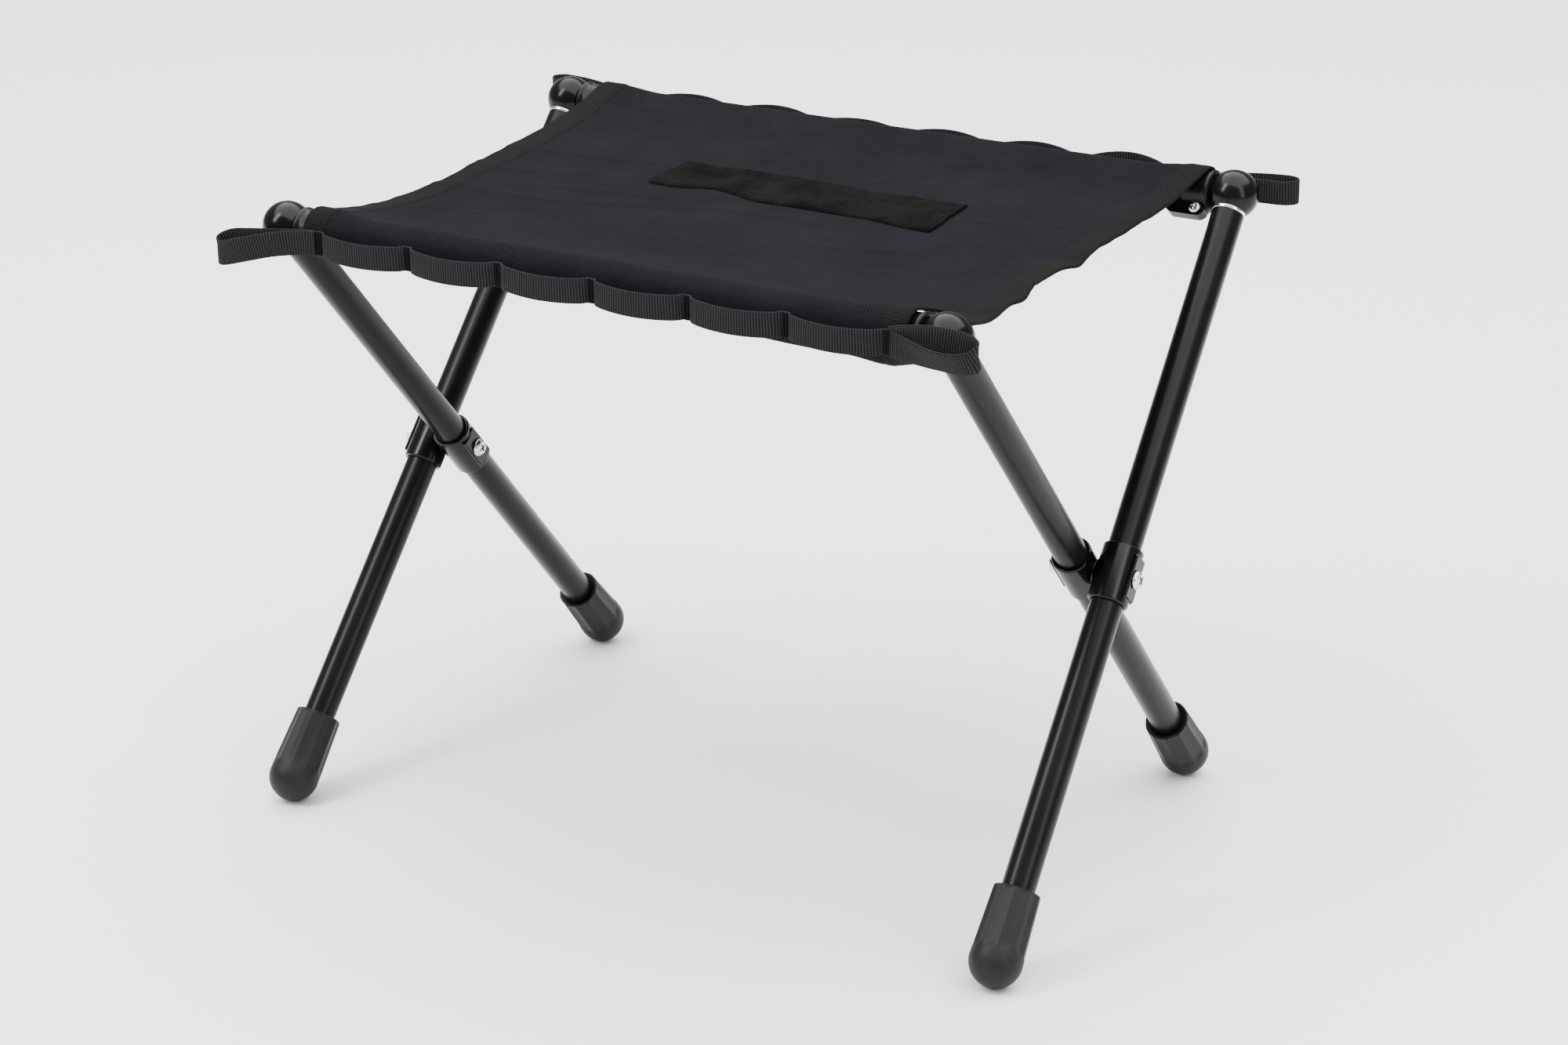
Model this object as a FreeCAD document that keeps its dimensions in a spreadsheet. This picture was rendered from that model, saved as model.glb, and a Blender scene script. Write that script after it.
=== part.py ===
import FreeCAD, Part
import math
import os
import Sketcher
from FreeCAD import Placement, Rotation, Vector

# Camp stool: two folding frames crossed at two hubs, with a fabric seat slung between their rails.
# Millimetres, +Z up, origin on the floor under the middle of the stool, rails along X.
# The front frame holds the front rail and the inner legs, whose feet stand at the back.
# The back frame holds the back rail and the outer legs, whose feet stand at the front.

SIZES = {
    # frame
    "front_half": 177.9,
    "back_half": 193.4,
    "inner_foot_half": 179.4,
    "outer_foot_half": 201.4,
    "rail_reach": 132.1,
    "foot_reach": 125.5,
    "rail_height": 309.2,
    "tube_radius": 8.0,
    "tube_wall": 1.2,
    "play": 0.05,
    # ball corner joints
    "ball_radius": 12.15,
    "ball_rail_face": 8.9,
    "ball_leg_face": 9.0,
    "ball_spigot": 20.0,
    "neck_overlap": 1.0,
    # rail end collars
    "collar_face": 9.6,
    "collar_end": 19.5,
    "collar_radius": 9.9,
    "lip_radius": 10.6,
    "lip_length": 2.2,
    "lug_start": 11.2,
    "lug_length": 20.8,
    "lug_drop": 13.1,
    "lug_radius": 4.2,
    "lug_thickness": 9.0,
    "lug_screw_reach": 15.5,
    "lug_screw_radius": 1.6,
    "lug_screw_length": 7.0,
    "lug_screw_head": 3.25,
    "lug_screw_head_height": 1.5,
    # bright spigots at the leg tops
    "spigot_rim": 1.5,
    "spigot_plug": 20.0,
    "spigot_pin": 6.0,
    "spigot_pin_radius": 3.5,
    # hubs
    "hub_length": 28.4,
    "hub_radius": 9.9,
    "hub_inner_flat": 8.9,
    "hub_pad": 10.4,
    "hub_pad_width": 11.0,
    "hub_pad_length": 22.0,
    "bolt_radius": 2.5,
    "bolt_play": 0.06,
    "bolt_head": 4.7,
    "bolt_head_height": 3.0,
    "nut_flats": 8.0,
    "nut_height": 4.0,
    "washer_radius": 6.5,
    # rubber feet
    "foot_radius": 12.7,
    "foot_top_radius": 11.4,
    "foot_shank": 34.0,
    "foot_floor": 6.0,
    # seat fabric
    "sleeve_bore": 10.05,
    "cloth": 0.9,
    "sleeve_front_left": 159.6,
    "sleeve_front_right": 163.0,
    "sleeve_back_left": 171.4,
    "sleeve_back_right": 179.7,
    "lug_notch": 34.0,
    "notch_play": 0.6,
    "wrap_angle": 25.0,
    "sag_radius": 160.0,
    "seat_gap": 0.35,
    "binding": 11.0,
    "binding_cloth": 1.8,
    "edge_waist": 6.0,
    "sheet_reach": 230.0,
    "plan_depth": 120.0,
    "strip_length": 158.0,
    "strip_width": 38.0,
    "strip_thickness": 1.6,
    "strip_shift": 38.0,
    "strip_side": 3.0,
    # webbing
    "web_width": 12.0,
    "web": 1.1,
    "web_drop": 1.6,
    "cell_pitch": 50.8,
    "tack": 4.0,
    "tack_thread": 0.5,
    "tack_margin": 0.5,
    "cell_bulge": 6.5,
    "web_shift": 2.5,
    "loop_reach": 26.0,
    "loop_eye": 7.5,
    "loop_stand": 3.9,
    "loop_root": 6.0,
    "root_outside": 2.4,
    "root_inside": 1.5,
}
CELLS = 6
SIDES = {"left": -1, "right": 1}
FRAMES = {"front": -1, "back": 1}
DOWN_THE_Y_AXIS = Rotation(Vector(1, 0, 0), 90)
ALONG_X = Rotation(Vector(0, 1, 0), 90)
IN_THE_YZ_PLANE = Rotation(Vector(1, 1, 1), 120)

doc = FreeCAD.newDocument("camp_stool")
sheet = doc.addObject("Spreadsheet::Sheet", "Sizes")
for row, (word, number) in enumerate(SIZES.items(), start=1):
    sheet.set("A%d" % row, word)
    sheet.set("B%d" % row, str(number))
    sheet.setAlias("B%d" % row, word)
doc.recompute()
finished = []


# Helpers: a formula names the sheet's cells, such as "Sizes.tube_radius - Sizes.tube_wall".

def value(formula):
    """The number that a formula gives now."""
    return float(sheet.evalExpression(formula.replace("Sizes.", "")))


def solid(kind, name, place, **formulas):
    """A Part primitive with its sizes bound to the sheet."""
    piece = doc.addObject("Part::" + kind, name)
    for size, formula in formulas.items():
        piece.setExpression(size, formula)
    piece.Placement = place
    return piece


def fuse(name, pieces):
    """Several pieces as one solid."""
    whole = doc.addObject("Part::MultiFuse", name)
    whole.Shapes = pieces
    return whole


def cut(name, base, tools):
    """base with every tool taken out of it."""
    rest = doc.addObject("Part::Cut", name)
    rest.Base = base
    rest.Tool = tools[0] if len(tools) == 1 else fuse(name + "_tools", tools)
    return rest


def common(name, first, second):
    """What two pieces share."""
    shared = doc.addObject("Part::Common", name)
    shared.Base = first
    shared.Tool = second
    return shared


def finish(piece, node, place=None):
    """The piece becomes the sub-part called node, set at its place."""
    piece.Label = node
    if place is not None:
        piece.Placement = place
    finished.append(piece)
    return piece


def at(x=0.0, y=0.0, z=0.0, turn=None):
    """A place from its position and turn."""
    return Placement(Vector(x, y, z), turn or Rotation())


def outline(name, corners, place):
    """A closed sketch. Each corner is (x formula, y formula, radius formula, side): the line that
    leaves it is straight if the radius is None, else an arc that swells to its left (side 1) or to
    its right (side -1)."""
    sketch = doc.addObject("Sketcher::SketchObject", name)
    sketch.Placement = place
    points = [Vector(value(x), value(y), 0) for x, y, _, _ in corners]
    pieces = []
    for k, (_, _, radius, side) in enumerate(corners):
        start = points[k]
        end = points[(k + 1) % len(points)]
        if radius is None:
            line = sketch.addGeometry(Part.LineSegment(start, end))
            pieces.append((line, 1, 2))
            continue
        size = value(radius)
        chord = end - start
        swell = Vector(-chord.y, chord.x, 0).normalize() * side
        depth = math.sqrt(max(0, size ** 2 - (chord.Length / 2) ** 2))
        centre = (start + end) / 2 - swell * depth
        first, last = (end, start) if side > 0 else (start, end)
        angles = [math.atan2(p.y - centre.y, p.x - centre.x) for p in (first, last)]
        angles[1] += 2 * math.pi if angles[1] < angles[0] else 0
        circle = Part.Circle(centre, Vector(0, 0, 1), size)
        arc = sketch.addGeometry(Part.ArcOfCircle(circle, *angles))
        pieces.append((arc, 2, 1) if side > 0 else (arc, 1, 2))
    for k, (number, _, last) in enumerate(pieces):
        following, first, _ = pieces[(k + 1) % len(pieces)]
        sketch.addConstraint(Sketcher.Constraint("Coincident", number, last, following, first))
    for k, (number, first, _) in enumerate(pieces):
        x, y, radius, _ = corners[k]
        bind(sketch, "DistanceX", (-1, 1, number, first), points[k].x, x)
        bind(sketch, "DistanceY", (-1, 1, number, first), points[k].y, y)
        if radius is not None:
            bind(sketch, "Radius", (number,), value(radius), radius)
    return sketch


def bind(sketch, kind, what, size, formula):
    """A constraint bound to a formula."""
    number = sketch.addConstraint(Sketcher.Constraint(kind, *what, size))
    sketch.setExpression("Constraints[%d]" % number, formula)


def raised(name, sketch, formula):
    """The sketch's outline as a solid, along its own normal."""
    block = doc.addObject("Part::Extrusion", name)
    block.Base = sketch
    block.DirMode = "Normal"
    block.Solid = True
    block.setExpression("LengthFwd", formula)
    return block


# Where the frames stand

def corner_of(frame):
    """A frame's half width at its rail and at its feet, as cell names."""
    if frame == "front":
        return "front_half", "inner_foot_half"
    return "back_half", "outer_foot_half"


def leg_run(frame, side):
    """The ball centre and the foot centre of a leg."""
    top, foot = corner_of(frame)
    lean = FRAMES[frame]
    ball = Vector(SIDES[side] * SIZES[top], lean * SIZES["rail_reach"], SIZES["rail_height"])
    dome = Vector(SIDES[side] * SIZES[foot], -lean * SIZES["foot_reach"], SIZES["foot_radius"])
    return ball, dome


def leg_length(frame):
    """The formula for a leg's length from ball centre to foot centre."""
    top, foot = corner_of(frame)
    return (
        "sqrt((Sizes.%s - Sizes.%s)^2 + (Sizes.rail_reach + Sizes.foot_reach)^2"
        " + (Sizes.rail_height - Sizes.foot_radius)^2)" % (foot, top)
    )


def lean_turn(frame):
    """Turns +Z to the frame's own slope, up to its rail."""
    rise = SIZES["rail_height"] - SIZES["foot_radius"]
    slope = math.degrees(math.atan2(SIZES["rail_reach"] + SIZES["foot_reach"], rise))
    return Rotation(Vector(1, 0, 0), -FRAMES[frame] * slope)


def splay_turn(frame, side):
    """Turns the frame's slope to the leg's own line, inside the frame's plane."""
    ball, dome = leg_run(frame, side)
    run = ball - dome
    return Rotation(Vector(0, 1, 0), math.degrees(math.asin(run.x / run.Length)))


def leg_place(frame, side):
    """The ball centre, with Z up the leg."""
    ball, _ = leg_run(frame, side)
    return Placement(ball, lean_turn(frame) * splay_turn(frame, side))


def corner_place(frame, side):
    """The ball centre, with X along the rail and Z up the frame's slope."""
    ball, _ = leg_run(frame, side)
    return Placement(ball, lean_turn(frame))


def hub_centre(frame, side):
    """Where a leg crosses the stool's middle plane."""
    ball, dome = leg_run(frame, side)
    share = ball.y / (ball.y - dome.y)
    return ball + (dome - ball) * share


def hub_reach(frame):
    """The formula for the hub's distance down the leg from the ball centre."""
    return leg_length(frame) + " * Sizes.rail_reach / (Sizes.rail_reach + Sizes.foot_reach)"


def inward(side, reach, z=0.0):
    """A place that far inboard of a ball centre, with Z turned inboard along the rail."""
    turn = ALONG_X if side == "left" else ALONG_X.inverted()
    return at(-SIDES[side] * reach, 0, z, turn)


# Sub-parts of the two frames

def rail(frame):
    """One seat rail: a plain tube between its two collars' faces."""
    half, _ = corner_of(frame)
    node = "rail_" + frame
    length = "2 * (Sizes.%s - Sizes.collar_face)" % half
    outside = solid("Cylinder", node + "_outside", at(), Radius="Sizes.tube_radius", Height=length)
    inside = solid("Cylinder", node + "_inside", at(), Radius="Sizes.tube_radius - Sizes.tube_wall",
                   Height=length)
    start = -(SIZES[half] - SIZES["collar_face"])
    place = at(start, FRAMES[frame] * SIZES["rail_reach"], SIZES["rail_height"], ALONG_X)
    finish(cut(node, outside, [inside]), node, place)


def ball(frame, side):
    """A ball with a flat and a spigot towards the rail, and a flat and a bore towards the leg."""
    node = "ball_%s_%s" % (frame, side)
    sphere = solid("Sphere", node + "_sphere", at(), Radius="Sizes.ball_radius")
    face = inward(side, SIZES["ball_rail_face"])
    rail_flat = solid("Cylinder", node + "_rail_flat", face, Radius="Sizes.ball_radius",
                      Height="Sizes.ball_radius")
    splay = splay_turn(frame, side)
    down = splay * Rotation(Vector(1, 0, 0), 180)
    leg_axis = splay.multVec(Vector(0, 0, -1))
    leg_flat = solid("Cylinder", node + "_leg_flat",
                     Placement(leg_axis * SIZES["ball_leg_face"], down),
                     Radius="Sizes.ball_radius", Height="Sizes.ball_radius")
    pin_depth = SIZES["ball_leg_face"] - SIZES["spigot_pin"] - SIZES["play"]
    bore = solid("Cylinder", node + "_bore", Placement(leg_axis * pin_depth, down),
                 Radius="Sizes.spigot_pin_radius + Sizes.play", Height="Sizes.ball_radius")
    trimmed = cut(node + "_trimmed", sphere, [rail_flat, leg_flat, bore])
    neck_start = inward(side, SIZES["ball_rail_face"] - SIZES["neck_overlap"])
    neck = solid("Cylinder", node + "_neck", neck_start, Radius="Sizes.tube_radius",
                 Height="Sizes.collar_face - Sizes.ball_rail_face + Sizes.neck_overlap")
    spigot = solid("Cylinder", node + "_spigot", neck_start,
                   Radius="Sizes.tube_radius - Sizes.tube_wall - Sizes.play",
                   Height="Sizes.ball_spigot")
    finish(fuse(node, [trimmed, neck, spigot]), node, corner_place(frame, side))


def collar(frame, side):
    """A lipped ring round the rail's end, with a lug below it for a screw."""
    node = "collar_%s_%s" % (frame, side)
    face = inward(side, SIZES["collar_face"])
    ring = solid("Cylinder", node + "_ring", face, Radius="Sizes.collar_radius",
                 Height="Sizes.collar_end - Sizes.collar_face")
    lip = solid("Cylinder", node + "_lip", face, Radius="Sizes.lip_radius",
                Height="Sizes.lip_length")
    near = SIZES["lug_start"] + SIZES["lug_radius"]
    far = SIZES["lug_start"] + SIZES["lug_length"] - SIZES["lug_radius"]
    half_thickness = SIZES["lug_thickness"] / 2
    rounds = [
        solid("Cylinder", "%s_lug_end_%d" % (node, k),
              at(-SIDES[side] * x, half_thickness, -SIZES["lug_drop"], DOWN_THE_Y_AXIS),
              Radius="Sizes.lug_radius", Height="Sizes.lug_thickness")
        for k, x in enumerate((near, far))
    ]
    bar_low = min(-SIDES[side] * near, -SIDES[side] * far)
    bar = solid("Box", node + "_lug_bar",
                at(bar_low, -half_thickness, -SIZES["lug_drop"] - SIZES["lug_radius"]),
                Length="Sizes.lug_length - 2 * Sizes.lug_radius", Width="Sizes.lug_thickness",
                Height="2 * Sizes.lug_radius")
    bore = solid("Cylinder", node + "_bore", inward(side, 0),
                 Radius="Sizes.tube_radius + Sizes.play", Height="2 * Sizes.lug_length")
    screw_hole = solid("Cylinder", node + "_screw_hole", screw_place(side),
                       Radius="Sizes.lug_screw_radius + Sizes.play",
                       Height="Sizes.lug_screw_length + Sizes.play")
    body = fuse(node + "_body", [ring, lip, bar] + rounds)
    finish(cut(node, body, [bore, screw_hole]), node, corner_place(frame, side))


def screw_place(side):
    """The lug's outer face at the screw, with Z into the lug."""
    return at(-SIDES[side] * SIZES["lug_screw_reach"], -SIZES["lug_thickness"] / 2,
              -SIZES["lug_drop"], Rotation(Vector(1, 0, 0), -90))


def lug_screw(frame, side):
    """A pan head screw in the lug, its head on the side under the seat."""
    node = "lug_screw_%s_%s" % (frame, side)
    seat = screw_place(side)
    shank = solid("Cylinder", node + "_shank", seat, Radius="Sizes.lug_screw_radius",
                  Height="Sizes.lug_screw_length")
    head_place = seat * at(0, 0, -SIZES["lug_screw_head_height"])
    head = solid("Cylinder", node + "_head", head_place, Radius="Sizes.lug_screw_head",
                 Height="Sizes.lug_screw_head_height")
    finish(fuse(node, [shank, head]), node, corner_place(frame, side))


def leg(frame, side):
    """A leg tube from the spigot's rim down into the foot, drilled for the pivot bolt."""
    node = "leg_%s_%s" % (frame, side)
    top = SIZES["ball_leg_face"] + SIZES["spigot_rim"]
    length = leg_length(frame)
    height = length + " - Sizes.foot_floor - Sizes.ball_leg_face - Sizes.spigot_rim"
    bottom = at(0, 0, -top - value(height))
    outside = solid("Cylinder", node + "_outside", bottom, Radius="Sizes.tube_radius",
                    Height=height)
    inside = solid("Cylinder", node + "_inside", bottom,
                   Radius="Sizes.tube_radius - Sizes.tube_wall", Height=height)
    across = splay_turn(frame, side).inverted() * ALONG_X
    middle = Vector(0, 0, -value(hub_reach(frame)))
    start = middle - across.multVec(Vector(0, 0, 1)) * 2 * SIZES["tube_radius"]
    bolt_hole = solid("Cylinder", node + "_bolt_hole", Placement(start, across),
                      Radius="Sizes.bolt_radius + Sizes.bolt_play", Height="4 * Sizes.tube_radius")
    finish(cut(node, outside, [inside, bolt_hole]), node, leg_place(frame, side))


def leg_spigot(frame, side):
    """A bright turned spigot: a pin up into the ball, a rim, and a plug down into the leg."""
    node = "leg_spigot_%s_%s" % (frame, side)
    rim_low = -SIZES["ball_leg_face"] - SIZES["spigot_rim"]
    rim = solid("Cylinder", node + "_rim", at(z=rim_low), Radius="Sizes.tube_radius",
                Height="Sizes.spigot_rim")
    pin = solid("Cylinder", node + "_pin", at(z=rim_low), Radius="Sizes.spigot_pin_radius",
                Height="Sizes.spigot_rim + Sizes.spigot_pin")
    plug = solid("Cylinder", node + "_plug", at(z=rim_low - SIZES["spigot_plug"]),
                 Radius="Sizes.tube_radius - Sizes.tube_wall - Sizes.play",
                 Height="Sizes.spigot_plug + Sizes.spigot_rim / 2")
    finish(fuse(node, [rim, pin, plug]), node, leg_place(frame, side))


def outward(frame, side):
    """+1 where a hub's outer side, away from its partner leg, faces +X, else -1."""
    return SIDES[side] * FRAMES[frame]


def hub_sleeve(frame, side):
    """A sleeve round the leg at the crossing: flat where the legs meet, a flat pad outside."""
    node = "hub_sleeve_%s_%s" % (frame, side)
    half = SIZES["hub_length"] / 2
    splay = splay_turn(frame, side)
    low = Placement(splay.multVec(Vector(0, 0, -half)), splay)
    barrel = solid("Cylinder", node + "_barrel", low, Radius="Sizes.hub_radius",
                   Height="Sizes.hub_length")
    direction = outward(frame, side)
    pad = solid("Box", node + "_pad",
                at(min(0, direction * SIZES["hub_pad"]), -SIZES["hub_pad_width"] / 2,
                   -SIZES["hub_pad_length"] / 2),
                Length="Sizes.hub_pad", Width="Sizes.hub_pad_width",
                Height="Sizes.hub_pad_length")
    flat_near = -direction * SIZES["hub_inner_flat"]
    flat = solid("Box", node + "_flat",
                 at(min(flat_near, flat_near - direction * SIZES["hub_radius"]),
                    -SIZES["hub_radius"], -SIZES["hub_length"]),
                 Length="Sizes.hub_radius", Width="2 * Sizes.hub_radius",
                 Height="2 * Sizes.hub_length")
    bore = solid("Cylinder", node + "_bore", Placement(low.Base * 2, splay),
                 Radius="Sizes.tube_radius + Sizes.play", Height="2 * Sizes.hub_length")
    bolt_hole = solid("Cylinder", node + "_bolt_hole", at(-2 * SIZES["hub_radius"], 0, 0, ALONG_X),
                      Radius="Sizes.bolt_radius + Sizes.bolt_play",
                      Height="4 * Sizes.hub_radius")
    body = fuse(node + "_body", [barrel, pad])
    place = Placement(hub_centre(frame, side), lean_turn(frame))
    finish(cut(node, body, [flat, bore, bolt_hole]), node, place)


def hub_span(side):
    """The outer pad faces of a hub, low X first."""
    inner = hub_centre("front", side).x
    outer = hub_centre("back", side).x
    faces = (inner - SIDES[side] * SIZES["hub_pad"], outer + SIDES[side] * SIZES["hub_pad"])
    return min(faces), max(faces)


def pivot(side):
    """The bolt through both hub sleeves, its nut, and the washer between the sleeves."""
    low, high = hub_span(side)
    centre = hub_centre("back", side)
    grip = high - low
    node = "pivot_bolt_" + side
    start = low - SIZES["nut_height"]
    shank = solid("Cylinder", node + "_shank", at(), Radius="Sizes.bolt_radius",
                  Height="2 * Sizes.hub_pad + Sizes.nut_height + Sizes.play + %s" % hub_step(side))
    head = solid("Cylinder", node + "_head",
                 at(z=grip + SIZES["nut_height"] + SIZES["play"]),
                 Radius="Sizes.bolt_head", Height="Sizes.bolt_head_height")
    finish(fuse(node, [shank, head]), node, at(start, 0, centre.z, ALONG_X))

    node = "pivot_nut_" + side
    block = solid("Prism", node + "_block", at(), Circumradius="Sizes.nut_flats / sqrt(3)",
                  Height="Sizes.nut_height - Sizes.play")
    hole = solid("Cylinder", node + "_hole", at(), Radius="Sizes.bolt_radius + Sizes.play / 2",
                 Height="Sizes.nut_height")
    finish(cut(node, block, [hole]), node, at(start, 0, centre.z, ALONG_X))

    node = "pivot_washer_" + side
    thickness = "%s - 2 * Sizes.hub_inner_flat - 2 * Sizes.play" % hub_step(side)
    disc = solid("Cylinder", node + "_disc", at(), Radius="Sizes.washer_radius", Height=thickness)
    hole = solid("Cylinder", node + "_hole", at(), Radius="Sizes.bolt_radius + Sizes.bolt_play",
                 Height=thickness)
    inner = min(hub_centre("front", side).x, centre.x)
    place = at(inner + SIZES["hub_inner_flat"] + SIZES["play"], 0, centre.z, ALONG_X)
    finish(cut(node, disc, [hole]), node, place)


def hub_step(side):
    """The formula for the distance between the two leg axes at a hub."""
    share = "Sizes.rail_reach / (Sizes.rail_reach + Sizes.foot_reach)"
    outer = "Sizes.back_half + (Sizes.outer_foot_half - Sizes.back_half) * " + share
    inner = "Sizes.front_half + (Sizes.inner_foot_half - Sizes.front_half) * " + share
    return "(%s - (%s))" % (outer, inner)


def foot(frame, side):
    """A rubber cap: a dome below a tapering shank, bored for the tube."""
    node = "foot_%s_%s" % (frame, side)
    dome = solid("Sphere", node + "_dome", at(), Radius="Sizes.foot_radius")
    shank = solid("Cone", node + "_shank", at(), Radius1="Sizes.foot_radius",
                  Radius2="Sizes.foot_top_radius", Height="Sizes.foot_shank")
    bore = solid("Cylinder", node + "_bore", at(z=SIZES["foot_floor"]),
                 Radius="Sizes.tube_radius + Sizes.play", Height="Sizes.foot_shank")
    _, centre = leg_run(frame, side)
    place = Placement(centre, lean_turn(frame) * splay_turn(frame, side))
    finish(cut(node, fuse(node + "_body", [dome, shank]), [bore]), node, place)


# Sub-parts of the seat

def rail_sleeve(frame):
    """The cloth tube round a rail, notched at both ends for the collars' lugs."""
    node = "rail_sleeve_" + frame
    left = "Sizes.sleeve_%s_left" % frame
    right = "Sizes.sleeve_%s_right" % frame
    length = "%s + %s" % (left, right)
    outside = solid("Cylinder", node + "_outside", at(), Radius="Sizes.sleeve_bore + Sizes.cloth",
                    Height=length)
    inside = solid("Cylinder", node + "_inside", at(), Radius="Sizes.sleeve_bore", Height=length)
    half, _ = corner_of(frame)
    notches = []
    for side, sign in SIDES.items():
        end = value("Sizes.sleeve_%s_left" % frame) + sign * (SIZES[half] - SIZES["lug_notch"])
        start = end if side == "right" else end - 3 * SIZES["lug_notch"]
        turn = ALONG_X.inverted() * lean_turn(frame)
        notch = solid("Box", "%s_notch_%s" % (node, side), at(),
                      Length="3 * Sizes.lug_notch", Width="Sizes.lug_thickness + 2 * Sizes.notch_play",
                      Height="2 * Sizes.sleeve_bore")
        corner = Vector(0, -SIZES["lug_thickness"] / 2 - SIZES["notch_play"],
                        -2 * SIZES["sleeve_bore"])
        notch.Placement = Placement(turn.multVec(corner) + Vector(0, 0, start), turn)
        notches.append(notch)
    place = at(-value(left), FRAMES[frame] * SIZES["rail_reach"], SIZES["rail_height"], ALONG_X)
    finish(cut(node, outside, [inside] + notches), node, place)


def lap_point(frame, radius, which):
    """Formula for where the seat leaves its lap on a rail sleeve, at that radius."""
    if which == "y":
        reach = "(Sizes.rail_reach - (%s) * sin(Sizes.wrap_angle))" % radius
        return reach if frame == "back" else "-" + reach
    return "Sizes.rail_height + (%s) * cos(Sizes.wrap_angle)" % radius


def seat_block(name, cloth):
    """The sagging sheet, full width: down from each rail in an arc to a level middle."""
    under = "Sizes.sleeve_bore + Sizes.cloth + Sizes.seat_gap"
    over = "%s + %s" % (under, cloth)
    under_radius = "(Sizes.sag_radius + %s)" % cloth
    arc_end = "(Sizes.rail_reach - (%s) * sin(Sizes.wrap_angle) - %s * sin(Sizes.wrap_angle))"
    low = "Sizes.rail_height + (%s) * cos(Sizes.wrap_angle) - %s * (1 - cos(Sizes.wrap_angle))"
    under_end = arc_end % (under, under_radius)
    over_end = arc_end % (over, "Sizes.sag_radius")
    corners = [
        (lap_point("front", under, "y"), lap_point("front", under, "z"), under_radius, -1),
        ("-" + under_end, low % (under, under_radius), None, 0),
        (under_end, low % (under, under_radius), under_radius, -1),
        (lap_point("back", under, "y"), lap_point("back", under, "z"), None, 0),
        (lap_point("back", over, "y"), lap_point("back", over, "z"), "Sizes.sag_radius", 1),
        (over_end, low % (over, "Sizes.sag_radius"), None, 0),
        ("-" + over_end, low % (over, "Sizes.sag_radius"), "Sizes.sag_radius", 1),
        (lap_point("front", over, "y"), lap_point("front", over, "z"), None, 0),
    ]
    place = Placement(Vector(-SIZES["sheet_reach"], 0, 0), IN_THE_YZ_PLANE)
    profile = outline(name + "_profile", corners, place)
    return raised(name + "_sheet", profile, "2 * Sizes.sheet_reach")


def seat_edge(side, inset):
    """Formulas for the seat's edge, x at the front and at the back, moved inboard by inset."""
    sign = "-" if side == "left" else ""
    front = "%s(Sizes.sleeve_front_%s - (%s))" % (sign, side, inset)
    back = "%s(Sizes.sleeve_back_%s - (%s))" % (sign, side, inset)
    return front, back


def waist_radius(side):
    """Formula for the radius of the seat's concave side edge."""
    chord = ("((2 * Sizes.rail_reach)^2 + (Sizes.sleeve_back_%s - Sizes.sleeve_front_%s)^2)"
             % (side, side))
    return "(%s / 8 / Sizes.edge_waist + Sizes.edge_waist / 2)" % chord


def plan_block(name, left_edge, right_edge, left_radius, right_radius, left_bow, right_bow):
    """A tall block over the plan between two bowed edges."""
    corners = [
        (left_edge[0], "-Sizes.rail_reach", None, 0),
        (right_edge[0], "-Sizes.rail_reach", right_radius, right_bow),
        (right_edge[1], "Sizes.rail_reach", None, 0),
        (left_edge[1], "Sizes.rail_reach", left_radius, left_bow),
    ]
    low = SIZES["rail_height"] - SIZES["plan_depth"] / 2
    profile = outline(name + "_outline", corners, at(z=low))
    return raised(name + "_block", profile, "Sizes.plan_depth")


def seat():
    """The seat panel and the binding along each of its side edges."""
    panel_plan = plan_block("seat_panel_plan",
                            seat_edge("left", "Sizes.binding"), seat_edge("right", "Sizes.binding"),
                            waist_radius("left"), waist_radius("right"), 1, 1)
    finish(common("seat_panel", seat_block("seat_panel", "Sizes.cloth"), panel_plan), "seat_panel")
    for side in SIDES:
        outer = seat_edge(side, "0")
        inner = seat_edge(side, "Sizes.binding")
        left, right = (outer, inner) if side == "left" else (inner, outer)
        node = "seat_binding_" + side
        bows = (1, -1) if side == "left" else (-1, 1)
        plan = plan_block(node + "_plan", left, right, waist_radius(side), waist_radius(side),
                          bows[0], bows[1])
        finish(common(node, seat_block(node, "Sizes.binding_cloth"), plan), node)


def seat_top():
    """The height of the level middle of the seat panel's top."""
    over = SIZES["sleeve_bore"] + SIZES["cloth"] + SIZES["seat_gap"] + SIZES["cloth"]
    wrap = math.radians(SIZES["wrap_angle"])
    return SIZES["rail_height"] + over * math.cos(wrap) - SIZES["sag_radius"] * (1 - math.cos(wrap))


def loop_strip():
    """The fuzzy strip sewn on the seat."""
    place = at(SIZES["strip_side"] - SIZES["strip_length"] / 2,
               SIZES["strip_shift"] - SIZES["strip_width"] / 2, seat_top())
    strip = solid("Box", "loop_strip", place, Length="Sizes.strip_length",
                  Width="Sizes.strip_width", Height="Sizes.strip_thickness")
    finish(strip, "loop_strip")


# Webbing: drawn in plan for the front rail, and turned half round for the back one

def web_place(frame):
    """The plan's origin over the rail's middle, at the webbing's lower edge."""
    turn = Rotation(Vector(0, 0, 1), 0 if frame == "front" else 180)
    height = SIZES["rail_height"] - SIZES["web_drop"] - SIZES["web_width"] / 2
    return at(SIZES["web_shift"], 0, height, turn)


WEB_BACK = "(-Sizes.rail_reach - Sizes.sleeve_bore - Sizes.cloth - Sizes.play)"
WEB_FRONT = "(%s - Sizes.web)" % WEB_BACK


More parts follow.
